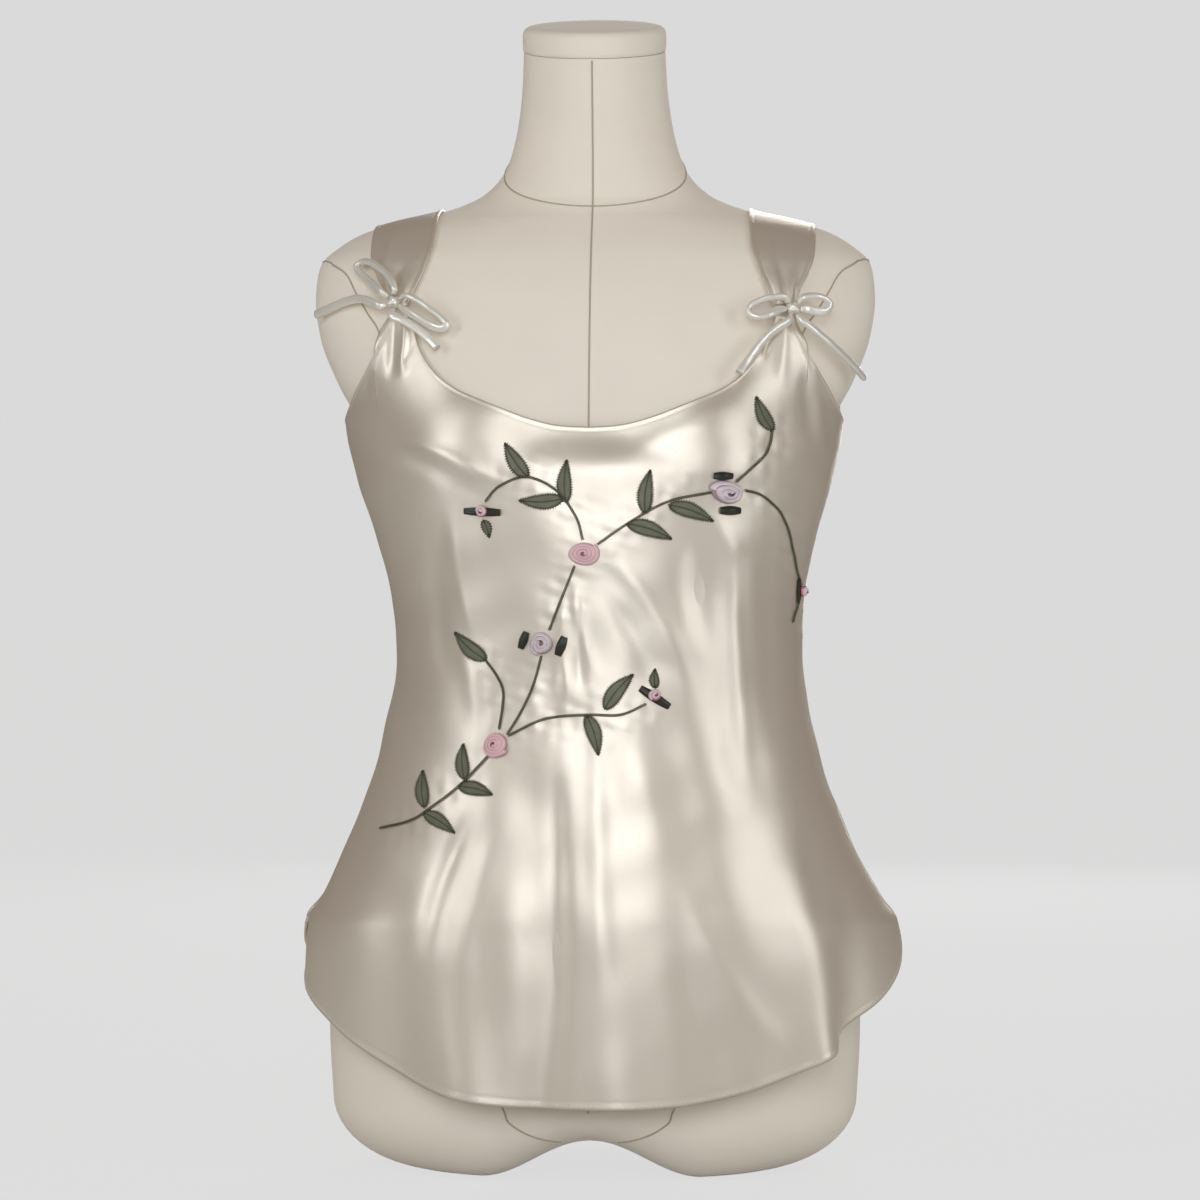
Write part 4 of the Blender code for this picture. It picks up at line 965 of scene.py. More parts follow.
def drift(x, z, size, seed):
    """Slow uneven waves between -1 and 1: a sum of five sines whose directions come from a seed."""
    rng = np.random.default_rng(seed)
    total = np.zeros(np.broadcast(x, z).shape)
    for _ in range(5):
        lean, start = rng.uniform(0, math.pi), rng.uniform(0, 2 * math.pi)
        pitch = size * rng.uniform(0.7, 1.5)
        total = total + np.sin((x * math.cos(lean) + z * math.sin(lean)) * 2 * math.pi / pitch + start)
    return total / 5


def near_stems(x, z):
    """Distance in millimetres to the nearest stem of the vine."""
    least = np.full(np.broadcast(x, z).shape, FAR_MM)
    for route in STEMS_MM.values():
        for here in even_along(route, STEM_PLACES):
            least = np.minimum(least, np.hypot(x - here[0], z - here[1]))
    return least


def near_flowers(x, z):
    """Bell of 13 mm round each rose, bud and ribbon, where the stitches hold the ground flat."""
    least = np.full(np.broadcast(x, z).shape, FAR_MM)
    for place in FLOWERS_MM:
        least = np.minimum(least, np.hypot(x - place[0], z - place[1]))
    return np.exp(-((least / STITCH_REACH) ** 2))


def hanging_waves(x, z, lean, seed):
    """Long waves that hang nearly straight down, and grow over the first 120 mm below the bust."""
    grown = np.clip((HANG_FROM - z) / HANG_OVER, 0, 1)
    return HANG_DEEP * (grown * drift(x + lean * z, HANG_STRETCH * z, HANG_SIZE, seed))


def front_relief(angle, height):
    """Folds, slow drifts, and the small puckers that dense stitches draw into the ground.

    The slow drift dies down towards the hem, whose weight pulls the cloth straight.
    """
    place = cloth_point(angle, height)
    x, z = place[..., 0] / MM, place[..., 2] / MM
    close = np.exp(-((near_stems(x, z) / STITCH_REACH) ** 2))
    puckers = drift(x, z, PUCKER_SIZE, 5) * close
    folds = fold_relief(FRONT_FOLDS, x, z) + fold_relief(GATHER_FOLDS, x, z)
    slow = DRIFT_DEEP - CALM_BY * np.clip((CALM_FROM - z) / CALM_OVER, 0, 1)
    hanging = hanging_waves(x, z, HANG_LEAN, 7)
    waves = MM * (PUCKER_DEEP * puckers + slow * drift(x, z, DRIFT_SIZE, 2) + hanging)
    return (folds + waves) * (1 - STITCH_HOLD * near_flowers(x, z))


def back_relief(angle, height):
    """Folds and drift of the back, seen from the front."""
    place = cloth_point(angle, height)
    x, z = place[..., 0] / MM, place[..., 2] / MM
    hanging = hanging_waves(x, z, -HANG_LEAN, 8)
    return fold_relief(BACK_FOLDS, x, z) + MM * (DRIFT_DEEP * drift(x, z, DRIFT_SIZE, 9) + hanging)


def front_surface(angle, height, out=0.0):
    """Point of the front's outside with its folds, `out` further away."""
    return moved_out(cloth_point, angle, height, WALL + front_relief(angle, height) + out)


def drawn_in(points):
    """Pulls cloth towards a knot: x shrinks to 0.62 of its distance, 3 mm below the knot."""
    for seat in KNOTS.values():
        near = np.exp(-(((points[..., 2] - seat.z + DRAW_BELOW) / DRAW_TALL) ** 2))
        near = near * (points[..., 1] < 0) * (np.sign(points[..., 0]) == np.sign(seat.x))
        middle = seat.x * 0.995
        wide = np.exp(-(((points[..., 0] - middle) / DRAW_WIDE) ** 4))
        points[..., 0] = middle + (points[..., 0] - middle) * (1 - DRAW_BY * near * wide)
    return points


print(f"waves of at most {DRIFT_DEEP + HANG_DEEP + PUCKER_DEEP:.2f} mm")

# %% [markdown]
# ## The panels
# A panel's columns start at its top edge and end at the hem. They fan out below the gather, and
# near a knot the whole cloth is drawn in towards it. The raw edges at the top and the hem are
# turned in twice, which shows as a thin raised border with a shallow line beside it.

# %% Edges of the panels
SIDE_SEAM, UNDERARM = 91.0, 0.503
STRAP_WIDTH, BACK_JOIN = 0.044, 0.560
Edge = namedtuple("Edge", "x z")
FRONT_NECK = [
    Edge(0.0000, 0.4940), Edge(0.0210, 0.4955), Edge(0.0400, 0.5003), Edge(0.0590, 0.5075),
    Edge(0.0770, 0.5150), Edge(0.0910, 0.5225), Edge(0.1030, 0.5330), Edge(0.1130, 0.5500),
]
BACK_NECK = [
    Edge(0.0000, 0.5150), Edge(0.0300, 0.5165), Edge(0.0560, 0.5215), Edge(0.0780, 0.5300),
    Edge(0.0950, 0.5430),
]
ArmEdge = namedtuple("ArmEdge", "angle z")
FRONT_ARMHOLE = [
    ArmEdge(62.3, 0.5600), ArmEdge(64.0, 0.5445), ArmEdge(69.0, 0.5280), ArmEdge(76.0, 0.5135),
    ArmEdge(83.0, 0.5055), ArmEdge(SIDE_SEAM, UNDERARM),
]
BACK_ARMHOLE = [
    ArmEdge(SIDE_SEAM, UNDERARM), ArmEdge(96.0, 0.5060), ArmEdge(101.0, 0.5150),
    ArmEdge(106.5, 0.5300), ArmEdge(112.5, 0.5480),
]


def edge_places(edges, steps, behind=False):
    """Angles and heights of steps + 1 places along an edge that is given by x and z."""
    rounded = smooth_route([(edge.x, edge.z) for edge in edges], 0.0005)
    places = even_along(rounded, steps + 1)
    return np.stack([angle_seen(places[:, 0], places[:, 1], behind), places[:, 1]], -1)


def armhole_places(edges, corner, steps):
    """The same for an armhole, given by angle and z, that starts or ends at a strap's corner."""
    listed = [(math.radians(edge.angle), edge.z) for edge in edges]
    listed = [corner, *listed] if edges is FRONT_ARMHOLE else [*listed, corner]
    arc_per_radian = 0.16
    scaled = smooth_route(np.array(listed) * (arc_per_radian, 1.0), 0.0005)
    return even_along(scaled, steps + 1) / (arc_per_radian, 1.0)


def strap_ends(level, width):
    """Inner and outer corner of a strap where it meets a panel."""
    return Edge(GATHER_X - width / 2, level), Edge(GATHER_X + width / 2, level)


half_neck = whole_length([(edge.x, edge.z) for edge in FRONT_NECK])
print(f"front neck {2 * half_neck:.3f} m along its listed places")

# %% Turned edges and seams
NECK_BORDER, HEM_BORDER = 0.0024, 0.0042
GROOVE_WIDE, LIP_DEEP, LIP_WIDE = 0.0007, 0.30, 0.0006
SEAM_DEEP, SEAM_WIDE, RIDGE_HIGH, RIDGE_AT, RIDGE_WIDE = 0.45, 0.0016, 0.2, 0.006, 0.003


def turned_edge(away, step_at, line_at, proud, line, soft):
    """Relief of a turned edge: proud up to its step, a shallow line there, and a rounded lip.

    `proud` and `line` are millimetres, and the rest is metres from the edge.
    """
    step = 0.5 * (1 - np.tanh((away - step_at) / soft))
    groove = np.exp(-(((away - line_at) / GROOVE_WIDE) ** 2))
    return MM * (proud * step - line * groove - LIP_DEEP * np.exp(-away / LIP_WIDE))


def border_relief(points):
    """Turned border at the top and the hem, and each point's distance from the left side seam."""
    down = np.linalg.norm(np.diff(points, axis=0), axis=-1)
    wide = np.linalg.norm(np.diff(points, axis=1), axis=-1)
    from_top = np.concatenate([np.zeros((1, points.shape[1])), np.cumsum(down, axis=0)])
    from_left = np.concatenate([np.zeros((points.shape[0], 1)), np.cumsum(wide, axis=1)], axis=1)
    total = np.zeros(points.shape[:2])
    for away, border in ((from_top, NECK_BORDER), (from_top[-1:] - from_top, HEM_BORDER)):
        total = total + turned_edge(away, border, border, 0.32, 0.28, 0.0004)
    return total, from_left


def seam_relief(from_left):
    """Side seam: the cloth dips to the seam line and lies a little proud beside it."""
    total = np.zeros(from_left.shape)
    for away in (from_left, from_left[:, -1:] - from_left):
        ridge = np.exp(-(((away - RIDGE_AT) / RIDGE_WIDE) ** 2))
        total = total + MM * (RIDGE_HIGH * ridge - SEAM_DEEP * np.exp(-away / SEAM_WIDE))
    return total


print(f"borders {NECK_BORDER / MM:.1f} and {HEM_BORDER / MM:.1f} mm wide")

# %% Front and back panel
FRONT_ROWS, BACK_ROWS, ROW_GROWTH, INSIDE_LIFT = 241, 181, 1.15, 0.3
NECK_FOOT, GATHER_FOOT, UNDERARM_FOOT, JOIN_FOOT = 42, 67, 114, 131


def panel_grid(top, foot, rows):
    """Angles and heights of a panel's grid: columns fan out along 1 - (1 - v)^3."""
    v = np.linspace(0, 1, rows)[:, None] ** ROW_GROWTH
    angle = top[:, 0] + (foot - top[:, 0]) * (1 - (1 - v) ** 3)
    height = top[:, 1] + (hem_height(foot) - top[:, 1]) * v
    half_gap = SEAM_GAP / 2 / cloth_radius(angle, height)
    angle[:, 0] += half_gap[:, 0]
    angle[:, -1] -= half_gap[:, -1]
    return angle, height


def cloth_shell(surface, a, b, out, deepest):
    """Fine outside grid of a wall on surface(a, b), and all its points with the coarser inside.

    The inside follows the outside's relief, but no further in than `deepest` millimetres.
    """
    fine = drawn_in(moved_out(surface, a, b, WALL + out))
    few = np.s_[::EVERY, ::EVERY]
    follows = np.clip(out[few], -deepest * MM, None) + INSIDE_LIFT * MM
    inner = drawn_in(moved_out(surface, a[few], b[few], follows))
    return fine, np.concatenate([fine.reshape(-1, 3), inner.reshape(-1, 3)])


def build_panel(name, top, foot, rows, relief, node, slot):
    """Cloth shell: a fine outside with all relief, and a coarser inside that follows it."""
    angle, height = panel_grid(top, foot, rows)
    border, from_left = border_relief(cloth_point(angle, height))
    out = relief(angle, height) + border + seam_relief(from_left)
    fine, points = cloth_shell(cloth_point, angle, height, out, 0.6)
    made = make_piece(name, points, wall_faces(rows, len(foot)), SATIN, [node])
    cell = np.cross(fine[1:, 1:] - fine[:-1, :-1], fine[1:, :-1] - fine[:-1, 1:])
    area = 0.5 * np.linalg.norm(cell, axis=-1).sum()
    tallest = max(whole_length(column) for column in fine.swapaxes(0, 1))
    print(f"  area {area:.4f} m2, hem {whole_length(fine[-1]):.3f} m, tallest column {tallest:.3f} m")
    return made


def foot_angles(marks, steps):
    """Angles at the hem in degrees: the way from each mark to the next in its number of steps."""
    parts = [np.linspace(marks[k], marks[k + 1], steps[k] + 1) for k in range(len(steps))]
    return np.concatenate([parts[0], *[part[1:] for part in parts[1:]]])


def front_columns():
    """Top places and feet of the front's columns, from the left side seam to the right one."""
    inner, outer = strap_ends(GATHER_LEVEL, GATHER_WIDTH)
    neck_steps, gather_steps, armhole_steps = 78, 45, 39
    neck = edge_places(FRONT_NECK + [inner], neck_steps)
    gather = edge_places([inner, outer], gather_steps)
    armhole = armhole_places(FRONT_ARMHOLE, gather[-1], armhole_steps)
    half = np.concatenate([neck, gather[1:], armhole[1:]])
    foot = foot_angles([0, NECK_FOOT, GATHER_FOOT, SIDE_SEAM], [neck_steps, gather_steps, armhole_steps])
    return (np.concatenate([half[:0:-1] * (-1, 1), half]),
            np.radians(np.concatenate([-foot[:0:-1], foot])))


def back_columns():
    """The same for the back, from the right side seam round to the left one."""
    inner, outer = strap_ends(BACK_JOIN, STRAP_WIDTH)
    armhole_steps, join_steps, neck_steps = 33, 21, 33
    join = edge_places([outer, inner], join_steps, behind=True)
    armhole = armhole_places(BACK_ARMHOLE, join[0], armhole_steps)
    neck = edge_places([inner] + BACK_NECK[::-1], neck_steps, behind=True)
    half = np.concatenate([armhole, join[1:], neck[1:]])
    foot = foot_angles([SIDE_SEAM, UNDERARM_FOOT, JOIN_FOOT, 180], [armhole_steps, join_steps, neck_steps])
    return (np.concatenate([half, (2 * math.pi, 0) + half[-2::-1] * (-1, 1)]),
            np.radians(np.concatenate([foot, 360 - foot[-2::-1]])))


front_cloth = build_panel("front_cloth", *front_columns(), FRONT_ROWS, front_relief,
                          "front_panel", "front_satin")
back_cloth = build_panel("back_cloth", *back_columns(), BACK_ROWS, back_relief,
                         "back_panel", "back_satin")

# %% [markdown]
# ## The hem's stitches
# The hem is a narrow double turn, held by a row of small stitches that show as beads of thread.
# Each is a short spindle, a tube that swells in its middle. They follow the hem at one height
# above its edge, and the row stops at the side seams.

# %% Stitches of the hem
HEM_LINE, STITCH_STEP, STITCH_SHARE = 0.0030, 0.0032, 0.62
SPINDLE = np.array([-0.5, -0.17, 0.17, 0.5])
SPINDLE_RADIUS = np.array([0.12, 0.34, 0.34, 0.12]) * MM


def hem_stitches(low, high, relief):
    """Spindles evenly spaced along the hem between two angles, in degrees."""
    angle = np.radians(np.linspace(low, high, 1200))
    line = cloth_point(angle, hem_height(angle) + HEM_LINE)
    length = lengths_along(line)
    middles = np.arange(STITCH_STEP, length[-1] - STITCH_STEP, STITCH_STEP)
    places = middles[:, None] + STITCH_STEP * STITCH_SHARE * SPINDLE
    turn = np.interp(places, length, angle)
    level = hem_height(turn) + HEM_LINE
    out = WALL + relief(turn, level) + 0.1 * MM
    laid = moved_out(cloth_point, turn, level, out)
    return [tube_along(row, SPINDLE_RADIUS, around=5) for row in laid]


stitches = hem_stitches(-SIDE_SEAM + 1, SIDE_SEAM - 1, front_relief)
stitches += hem_stitches(SIDE_SEAM + 1, 359 - SIDE_SEAM, back_relief)
points, faces = join_tubes(stitches)
make_piece("hem_stitches", points, faces, HEM_THREAD)

# %% [markdown]
# ## The straps
# A strap lies on the shoulder where rays from an axis inside the shoulder leave the form. It is
# wide and plain over the top. In front it is drawn together under the bow, so it breaks into
# ridges that are sharp at the knot and open out above it.

# %% Widths and folds of the straps
StrapWidth = namedtuple("StrapWidth", "height width")
STRAP = [
    StrapWidth(0.00, 0.0165), StrapWidth(0.05, 0.0215), StrapWidth(0.11, 0.0325),
    StrapWidth(0.20, 0.0425), StrapWidth(0.30, STRAP_WIDTH), StrapWidth(1.00, STRAP_WIDTH),
]
StrapFold = namedtuple("StrapFold", "across along to_across to_along wide wide_end deep")
STRAP_FOLDS = {
    -1: [
        StrapFold(-0.42, 0.00, -0.12, 0.30, 0.10, 0.13, 1.6),
        StrapFold(-0.50, 0.04, -0.34, 0.26, 0.10, 0.10, -0.9),
        StrapFold(-0.30, 0.00, 0.06, 0.15, 0.07, 0.10, -1.7),
        StrapFold(0.16, 0.00, 0.20, 0.12, 0.17, 0.20, 1.8),
        StrapFold(0.42, 0.00, 0.38, 0.14, 0.08, 0.10, -0.8),
    ],
    1: [
        StrapFold(0.12, 0.00, -0.06, 0.13, 0.07, 0.10, -1.8),
        StrapFold(-0.14, 0.00, -0.22, 0.17, 0.13, 0.16, 1.7),
        StrapFold(0.30, 0.00, 0.16, 0.20, 0.11, 0.16, 1.3),
        StrapFold(0.45, 0.00, 0.34, 0.12, 0.07, 0.09, -0.9),
        StrapFold(-0.42, 0.02, -0.38, 0.20, 0.09, 0.10, -0.8),
    ],
}


def strap_relief(side, t, s):
    """Folds of a strap: the same bell, on lines across (t) and along (s), faded at the far end."""
    total = np.zeros(t.shape)
    for fold in STRAP_FOLDS[side]:
        share = (s - fold.along) / (fold.to_along - fold.along)
        middle = fold.across + (fold.to_across - fold.across) * np.clip(share, 0, 1.3)
        width = fold.wide + (fold.wide_end - fold.wide) * np.clip(share, 0, 1)
        fade = np.exp(-(np.clip(share - 0.35, 0, None) / 0.55) ** 2)
        total = total + fold.deep * MM * fade * np.exp(-(((t - middle) / width) ** 2))
    return total


print(f"{sum(len(folds) for folds in STRAP_FOLDS.values())} folds on the straps")

# %% Surface of a strap
AXIS_DEPTH, AXIS_LEVEL, STRAP_EASE = 0.010, 0.555, 0.0015
LONGEST_RAY, RAY_HALVINGS, PULL_REACH = 0.3, 26, 0.2


def strap_surface(side):
    """Function for the inside of one strap, of t across (-0.5 to 0.5) and s along (0 to 1).

    A point lies where a ray from an axis inside the shoulder leaves the form, plus the ease.
    At both ends the surface is drawn to the panel's edge, and that pull fades with (1 - s/0.2)^2.
    """

    def edge(x, level, behind):
        return cloth_point(side * angle_seen(side * x, level, behind), level)

    def turn(point):
        return np.arctan2(point[..., 2] - AXIS_LEVEL, AXIS_DEPTH - point[..., 1])

    def on_ray(x, angle):
        near, far = np.zeros(np.shape(x)), np.full(np.shape(x), LONGEST_RAY)
        for _ in range(RAY_HALVINGS):
            reach = 0.5 * (near + far)
            y = AXIS_DEPTH - reach * np.cos(angle)
            z = AXIS_LEVEL + reach * np.sin(angle)
            within = outside_form(x, y, z) < STRAP_EASE
            near = np.where(within, reach, near)
            far = np.where(within, far, reach)
        return np.stack([x, y, z], -1)

    def surface(t, s):
        t, s = np.broadcast_arrays(t, s)
        middle = side * GATHER_X
        row = t[:1]
        front = edge(middle + row * STRAP[0].width, np.full(row.shape, GATHER_LEVEL), False)
        back = edge(middle + row * STRAP_WIDTH, np.full(row.shape, BACK_JOIN), True)
        start, stop = turn(front), turn(back)
        x = middle + t * smooth(STRAP, "width", s)
        base = on_ray(x, start + (stop - start) * s)
        pull_front = np.clip(1 - s / PULL_REACH, 0, 1)[..., None] ** 2
        pull_back = np.clip((s - 1 + PULL_REACH) / PULL_REACH, 0, 1)[..., None] ** 2
        base = base + pull_front * (front - on_ray(front[..., 0], start))
        return base + pull_back * (back - on_ray(back[..., 0], stop))

    return surface


print(f"rays found to {1e6 * LONGEST_RAY / 2**RAY_HALVINGS:.3f} micrometres")

# %% Straps
STRAP_LENGTH, STRAP_COLUMNS, STRAP_ROWS, STRAP_DEEPEST = 0.27, 55, 145, 0.9


def build_strap(name, side):
    """Strap shell, from the back over the shoulder to the bow."""
    end = SEAM_GAP / STRAP_LENGTH
    t, s = np.meshgrid(np.linspace(-0.5, 0.5, STRAP_COLUMNS), np.linspace(1 - end, end, STRAP_ROWS))
    away = (0.5 - np.abs(t)) * smooth(STRAP, "width", s)
    out = strap_relief(side, t, s) + turned_edge(away, 0.0030, 0.0032, 0.35, 0.30, 0.0005)
    out = np.clip(out, -STRAP_DEEPEST * MM, None)
    _, points = cloth_shell(strap_surface(side), t, s, out, 0.5)
    faces = wall_faces(STRAP_ROWS, STRAP_COLUMNS)
    return make_piece(name + "_cloth", points, faces, SATIN, [name])


straps = [build_strap("strap_left", -1), build_strap("strap_right", 1)]

# %% [markdown]
# ## Sheets of cloth
# The four satin pieces were cut flat. The front is 0.63 m wide along its hem and 0.52 m tall, less
# its neck, its armholes, the slope of its sides and the rounded hem. The back is 0.61 m by 0.49 m,
# less the same. Each strap is a straight strip whose front end is gathered.

# %% [markdown]
# ## Ribbon roses
# A wound rose is one ribbon, folded along its length, that is turned round its own end and
# stitched down at each turn. Its middle line is an Archimedean spiral. From above, each turn shows
# its bright fold, then a band that falls to the crease of the next turn. So the section is a saw
# tooth, with a painted highlight on the fold and painted shade in the crease. It wavers, since
# ribbon wound by hand never lies even.

# %% Places of roses, buds and ribbons
FLOWER_GAP = 0.0006
Flower = namedtuple("Flower", "name x z width length turn height")
ROSES = [
    Flower("rose_upper", -0.0025, 0.4120, 0.0222, 0.0170, 5, 0.0060),
    Flower("rose_side", 0.0893, 0.4518, 0.0265, 0.0160, -8, 0.0065),
    Flower("rose_middle", -0.0293, 0.3537, 0.0174, 0.0160, -20, 0.0065),
    Flower("rose_lower", -0.0590, 0.2880, 0.0190, 0.0180, 0, 0.0060),
]
BUDS = [
    Flower("bud_left", -0.068, 0.4395, 0.0090, 0.0085, 0, 0.0045),
    Flower("bud_lower", 0.0430, 0.3205, 0.0090, 0.0090, -35, 0.0045),
    Flower("bud_right", 0.1365, 0.3885, 0.0085, 0.0105, 60, 0.0045),
]
RIBBONS = [
    Flower("bar_left", -0.0680, 0.4393, 0.0250, 0.0058, -3, 0.0012),
    Flower("bar_lower", 0.0430, 0.3190, 0.0225, 0.0062, -33, 0.0012),
    Flower("bar_right", 0.1355, 0.3885, 0.0170, 0.0060, -72, 0.0012),
    Flower("leaf_side_upper", 0.0868, 0.4626, 0.0130, 0.0054, 0, 0.0028),
    Flower("leaf_side_lower", 0.0912, 0.4402, 0.0145, 0.0062, 0, 0.0028),
    Flower("leaf_middle_left", -0.0412, 0.3560, 0.0115, 0.0058, -110, 0.0028),
    Flower("leaf_middle_right", -0.0169, 0.3522, 0.0130, 0.0064, -110, 0.0028),
]


def sewn_on(item, across, up, out):
    """Point of a piece sewn to the front, laid flat on the cloth's outside round its centre.

    `across` and `up` are lengths on the cloth, turned by the piece's own turn.
    """
    lean = math.radians(item.turn)
    along = across * math.cos(lean) - up * math.sin(lean)
    rise = across * math.sin(lean) + up * math.cos(lean)
    centre = angle_seen(item.x, item.z)
    nudge = 0.001
    side_step = cloth_point(centre + nudge, item.z) - cloth_point(centre - nudge, item.z)
    arc_per_radian = np.linalg.norm(side_step) / (2 * nudge)
    return moved_out(cloth_point, centre + along / arc_per_radian, item.z + rise, WALL + out)


print(f"{len(ROSES)} roses, {len(BUDS)} buds, {len(RIBBONS)} ribbon leaves")

# %% Roses and buds
RIBBON_PLACES = np.array([0, 0.05, 0.10, 0.15, 0.20, 0.28, 0.40, 0.55, 0.70, 0.82, 0.92, 1.0])
FOLD_AT = 0.15
WIND_PITCH, WIND_WIDEST, FIRST_TURN = 1.08, 1.04, 1.7
SAW_RISE, SAW_DROP, SAW_FALL, BAND_LOW = 0.7, 0.75, 1.3, 0.52
DOME_DROP, DOME_SHAPE, LAST_DROP = 0.50, 1.4, 0.92
# Painted light across the ribbon: a painted highlight on the fold, painted shade in the crease, and the
# band between.
BAND_SHADE, LIGHT_WIDE, START_CREASE, END_CREASE = 0.38, 0.08, 0.05, 0.13
MoundRing = namedtuple("MoundRing", "share rise")
MOUND = [
    MoundRing(0.02, 0.30), MoundRing(0.22, 0.28), MoundRing(0.44, 0.24), MoundRing(0.62, 0.18),
    MoundRing(0.76, 0.10), MoundRing(0.82, 0.0), MoundRing(0.5, 0.0),
]
MOUND_AROUND, MOUND_SHADE = 40, 0.9


def wound_ribbon(item, lift, winds, loose, seed, steps=300):
    """Grid of a folded ribbon on an Archimedean spiral, r growing evenly with the turn.

    Across the ribbon the height is a saw tooth: steep up to the fold, then 1 - 0.75 w^1.3 outward.
    The last turn falls to the cloth with w^5.
    The second layer number is painted light and shade: 0 is the painted highlight on the fold,
    0.38 the band, and 1 the painted shade in the crease.
    """
    w = RIBBON_PLACES[None, :]
    f = np.linspace(0, 1, steps)[:, None]
    turn = 2 * math.pi * winds * f + FIRST_TURN * seed
    pitch = WIND_PITCH / (winds + 1)
    wave = np.sin(turn * 2 + seed) + 0.7 * np.sin(turn * 3 + 1.3 * seed + f)
    waver = 1 + loose * wave * (0.3 + 0.7 * f)
    radial = (0.5 * pitch + (1 - pitch) * f + pitch * (w - 0.5)) * waver
    radial = np.clip(radial, 0.0, WIND_WIDEST)
    fall = np.clip((w - FOLD_AT) / (1 - FOLD_AT), 0, 1)
    tooth = np.where(w < FOLD_AT, (w / FOLD_AT) ** SAW_RISE, 1 - SAW_DROP * fall**SAW_FALL)
    dome = item.height * (1 - DOME_DROP * f**DOME_SHAPE) * (1 + loose * np.sin(turn * 4 + seed))
    last = np.clip((f - 1 + 1 / winds) * winds * 4, 0, 1)
    high = dome * (BAND_LOW + (1 - BAND_LOW) * tooth) * (1 - LAST_DROP * last * w**5)
    across = radial * item.width / 2 * np.cos(turn)
    up = radial * item.length / 2 * np.sin(turn)
    points = sewn_on(item, across, up, lift + high)
    # Painted highlight along the fold, painted shade in the creases at both edges of the ribbon.
    fold = np.exp(-(((w - FOLD_AT) / LIGHT_WIDE) ** 2))
    crease = np.exp(-((w / START_CREASE) ** 2)) + np.exp(-(((1 - w) / END_CREASE) ** 2))
    shade = np.clip(BAND_SHADE * (1 - fold) + (1 - BAND_SHADE) * crease, 0, 1)
    return points, np.stack([f + 0 * w, shade + 0 * f], -1)


def build_rose(item, lift, winds, loose, finish, seed):
    """One rose: the wound ribbon over a low mound that closes it underneath."""
    ribbon, layers = wound_ribbon(item, lift, winds, loose, seed)
    rows, columns = ribbon.shape[:2]
    turn = np.linspace(0, 2 * math.pi, MOUND_AROUND, endpoint=False)
    share = np.array([row.share for row in MOUND])[:, None]
    rise = item.height * np.array([row.rise for row in MOUND])[:, None]
    across = share * item.width / 2 * np.cos(turn)
    mound = sewn_on(item, across, share * item.length / 2 * np.sin(turn), lift + rise + 0 * turn)
    faces = [*sheet_quads(rows, columns)]
    faces += [*sheet_quads(len(MOUND), MOUND_AROUND, rows * columns, closed=True)]
    points = np.concatenate([ribbon.reshape(-1, 3), mound.reshape(-1, 3)])
    # The hidden mound is painted nearly the crease colour, as painted shade under the ribbon.
    under = np.tile([0.0, MOUND_SHADE], (len(MOUND) * MOUND_AROUND, 1))
    both = np.concatenate([layers.reshape(-1, 2), under])
    return make_piece(item.name + "_wound", points, faces, finish, [item.name], layers=both)


for k, item in enumerate(ROSES):
    pink = item.name in ("rose_upper", "rose_lower")
    build_rose(item, FLOWER_GAP, 3.3 if pink else 2.4, 0.035 if pink else 0.085,
               PINK if pink else PALE, 3 + k)
for k, item in enumerate(BUDS):
    build_rose(item, 2 * FLOWER_GAP + RIBBONS[0].height, 1.5, 0.05, BUD, 11 + k)

# %% Ribbon leaves
RIBBON_ROWS, RIBBON_COLUMNS, RIBBON_LEAST = 22, 40, 1.6 * MM
PLEAT, PLEAT_COUNT, PLEAT_LEAN, CROWN_LEAST = 0.16 * MM, 19, 3, 0.1 * MM


def build_ribbon(item):
    """Folded ribbon: thick in the middle, drawn in at both ends, with fine lengthwise pleats."""
    across, up = np.meshgrid(np.linspace(-0.5, 0.5, RIBBON_COLUMNS), np.linspace(0.5, -0.5, RIBBON_ROWS))
    swell = np.cos(0.80 * math.pi * across)
    thick = max(item.height, RIBBON_LEAST)
    pleat = PLEAT * np.sin(up * PLEAT_COUNT + PLEAT_LEAN * across) * (1 - swell * 0.6)
    crown = thick * (0.25 + 0.75 * swell) * np.sqrt(np.clip(1 - (2 * up) ** 2, 0, 1)) + pleat
    width = item.length * (0.55 + 0.45 * swell)
    top = sewn_on(item, item.width * across, width * up, FLOWER_GAP + np.clip(crown, CROWN_LEAST, None))
    under = sewn_on(item, item.width * across, width * up, FLOWER_GAP + 0 * up)
    grid = np.concatenate([top.reshape(-1, 3), under.reshape(-1, 3)])
    faces = [*sheet_quads(*across.shape), *sheet_quads(*across.shape, first=across.size)[:, ::-1]]
    edge = rim_of(np.arange(across.size).reshape(across.shape))
    faces += [(a, b, b + across.size, a + across.size) for a, b in zip(edge, np.roll(edge, -1))]
    return make_piece(item.name + "_ribbon", grid, faces, GREEN, [item.name])


for item in RIBBONS:
    build_ribbon(item)

# %% [markdown]
# ## The embroidered vine
# The vine was worked in thread before the panel was sewn. A stem is a stem stitch, which reads as
# a two-strand rope. A leaf is two halves of satin stitch that meet in a dark vein, and blanket
# stitches close its outline like small teeth. Each is laid on the cloth's outside, folds included,
# at the place where it is seen from the front.

# %% Stems
STRAND, ROPE, ROPE_PITCH, ROPE_LIFT, ROPE_SPACING = 0.00040, 0.00066, 0.0038, 0.00075, 0.00042


def on_front(x, z, out):
    """Point above the front's outside that is seen at x and z, in metres."""
    return front_surface(angle_seen(x, z), z, out)


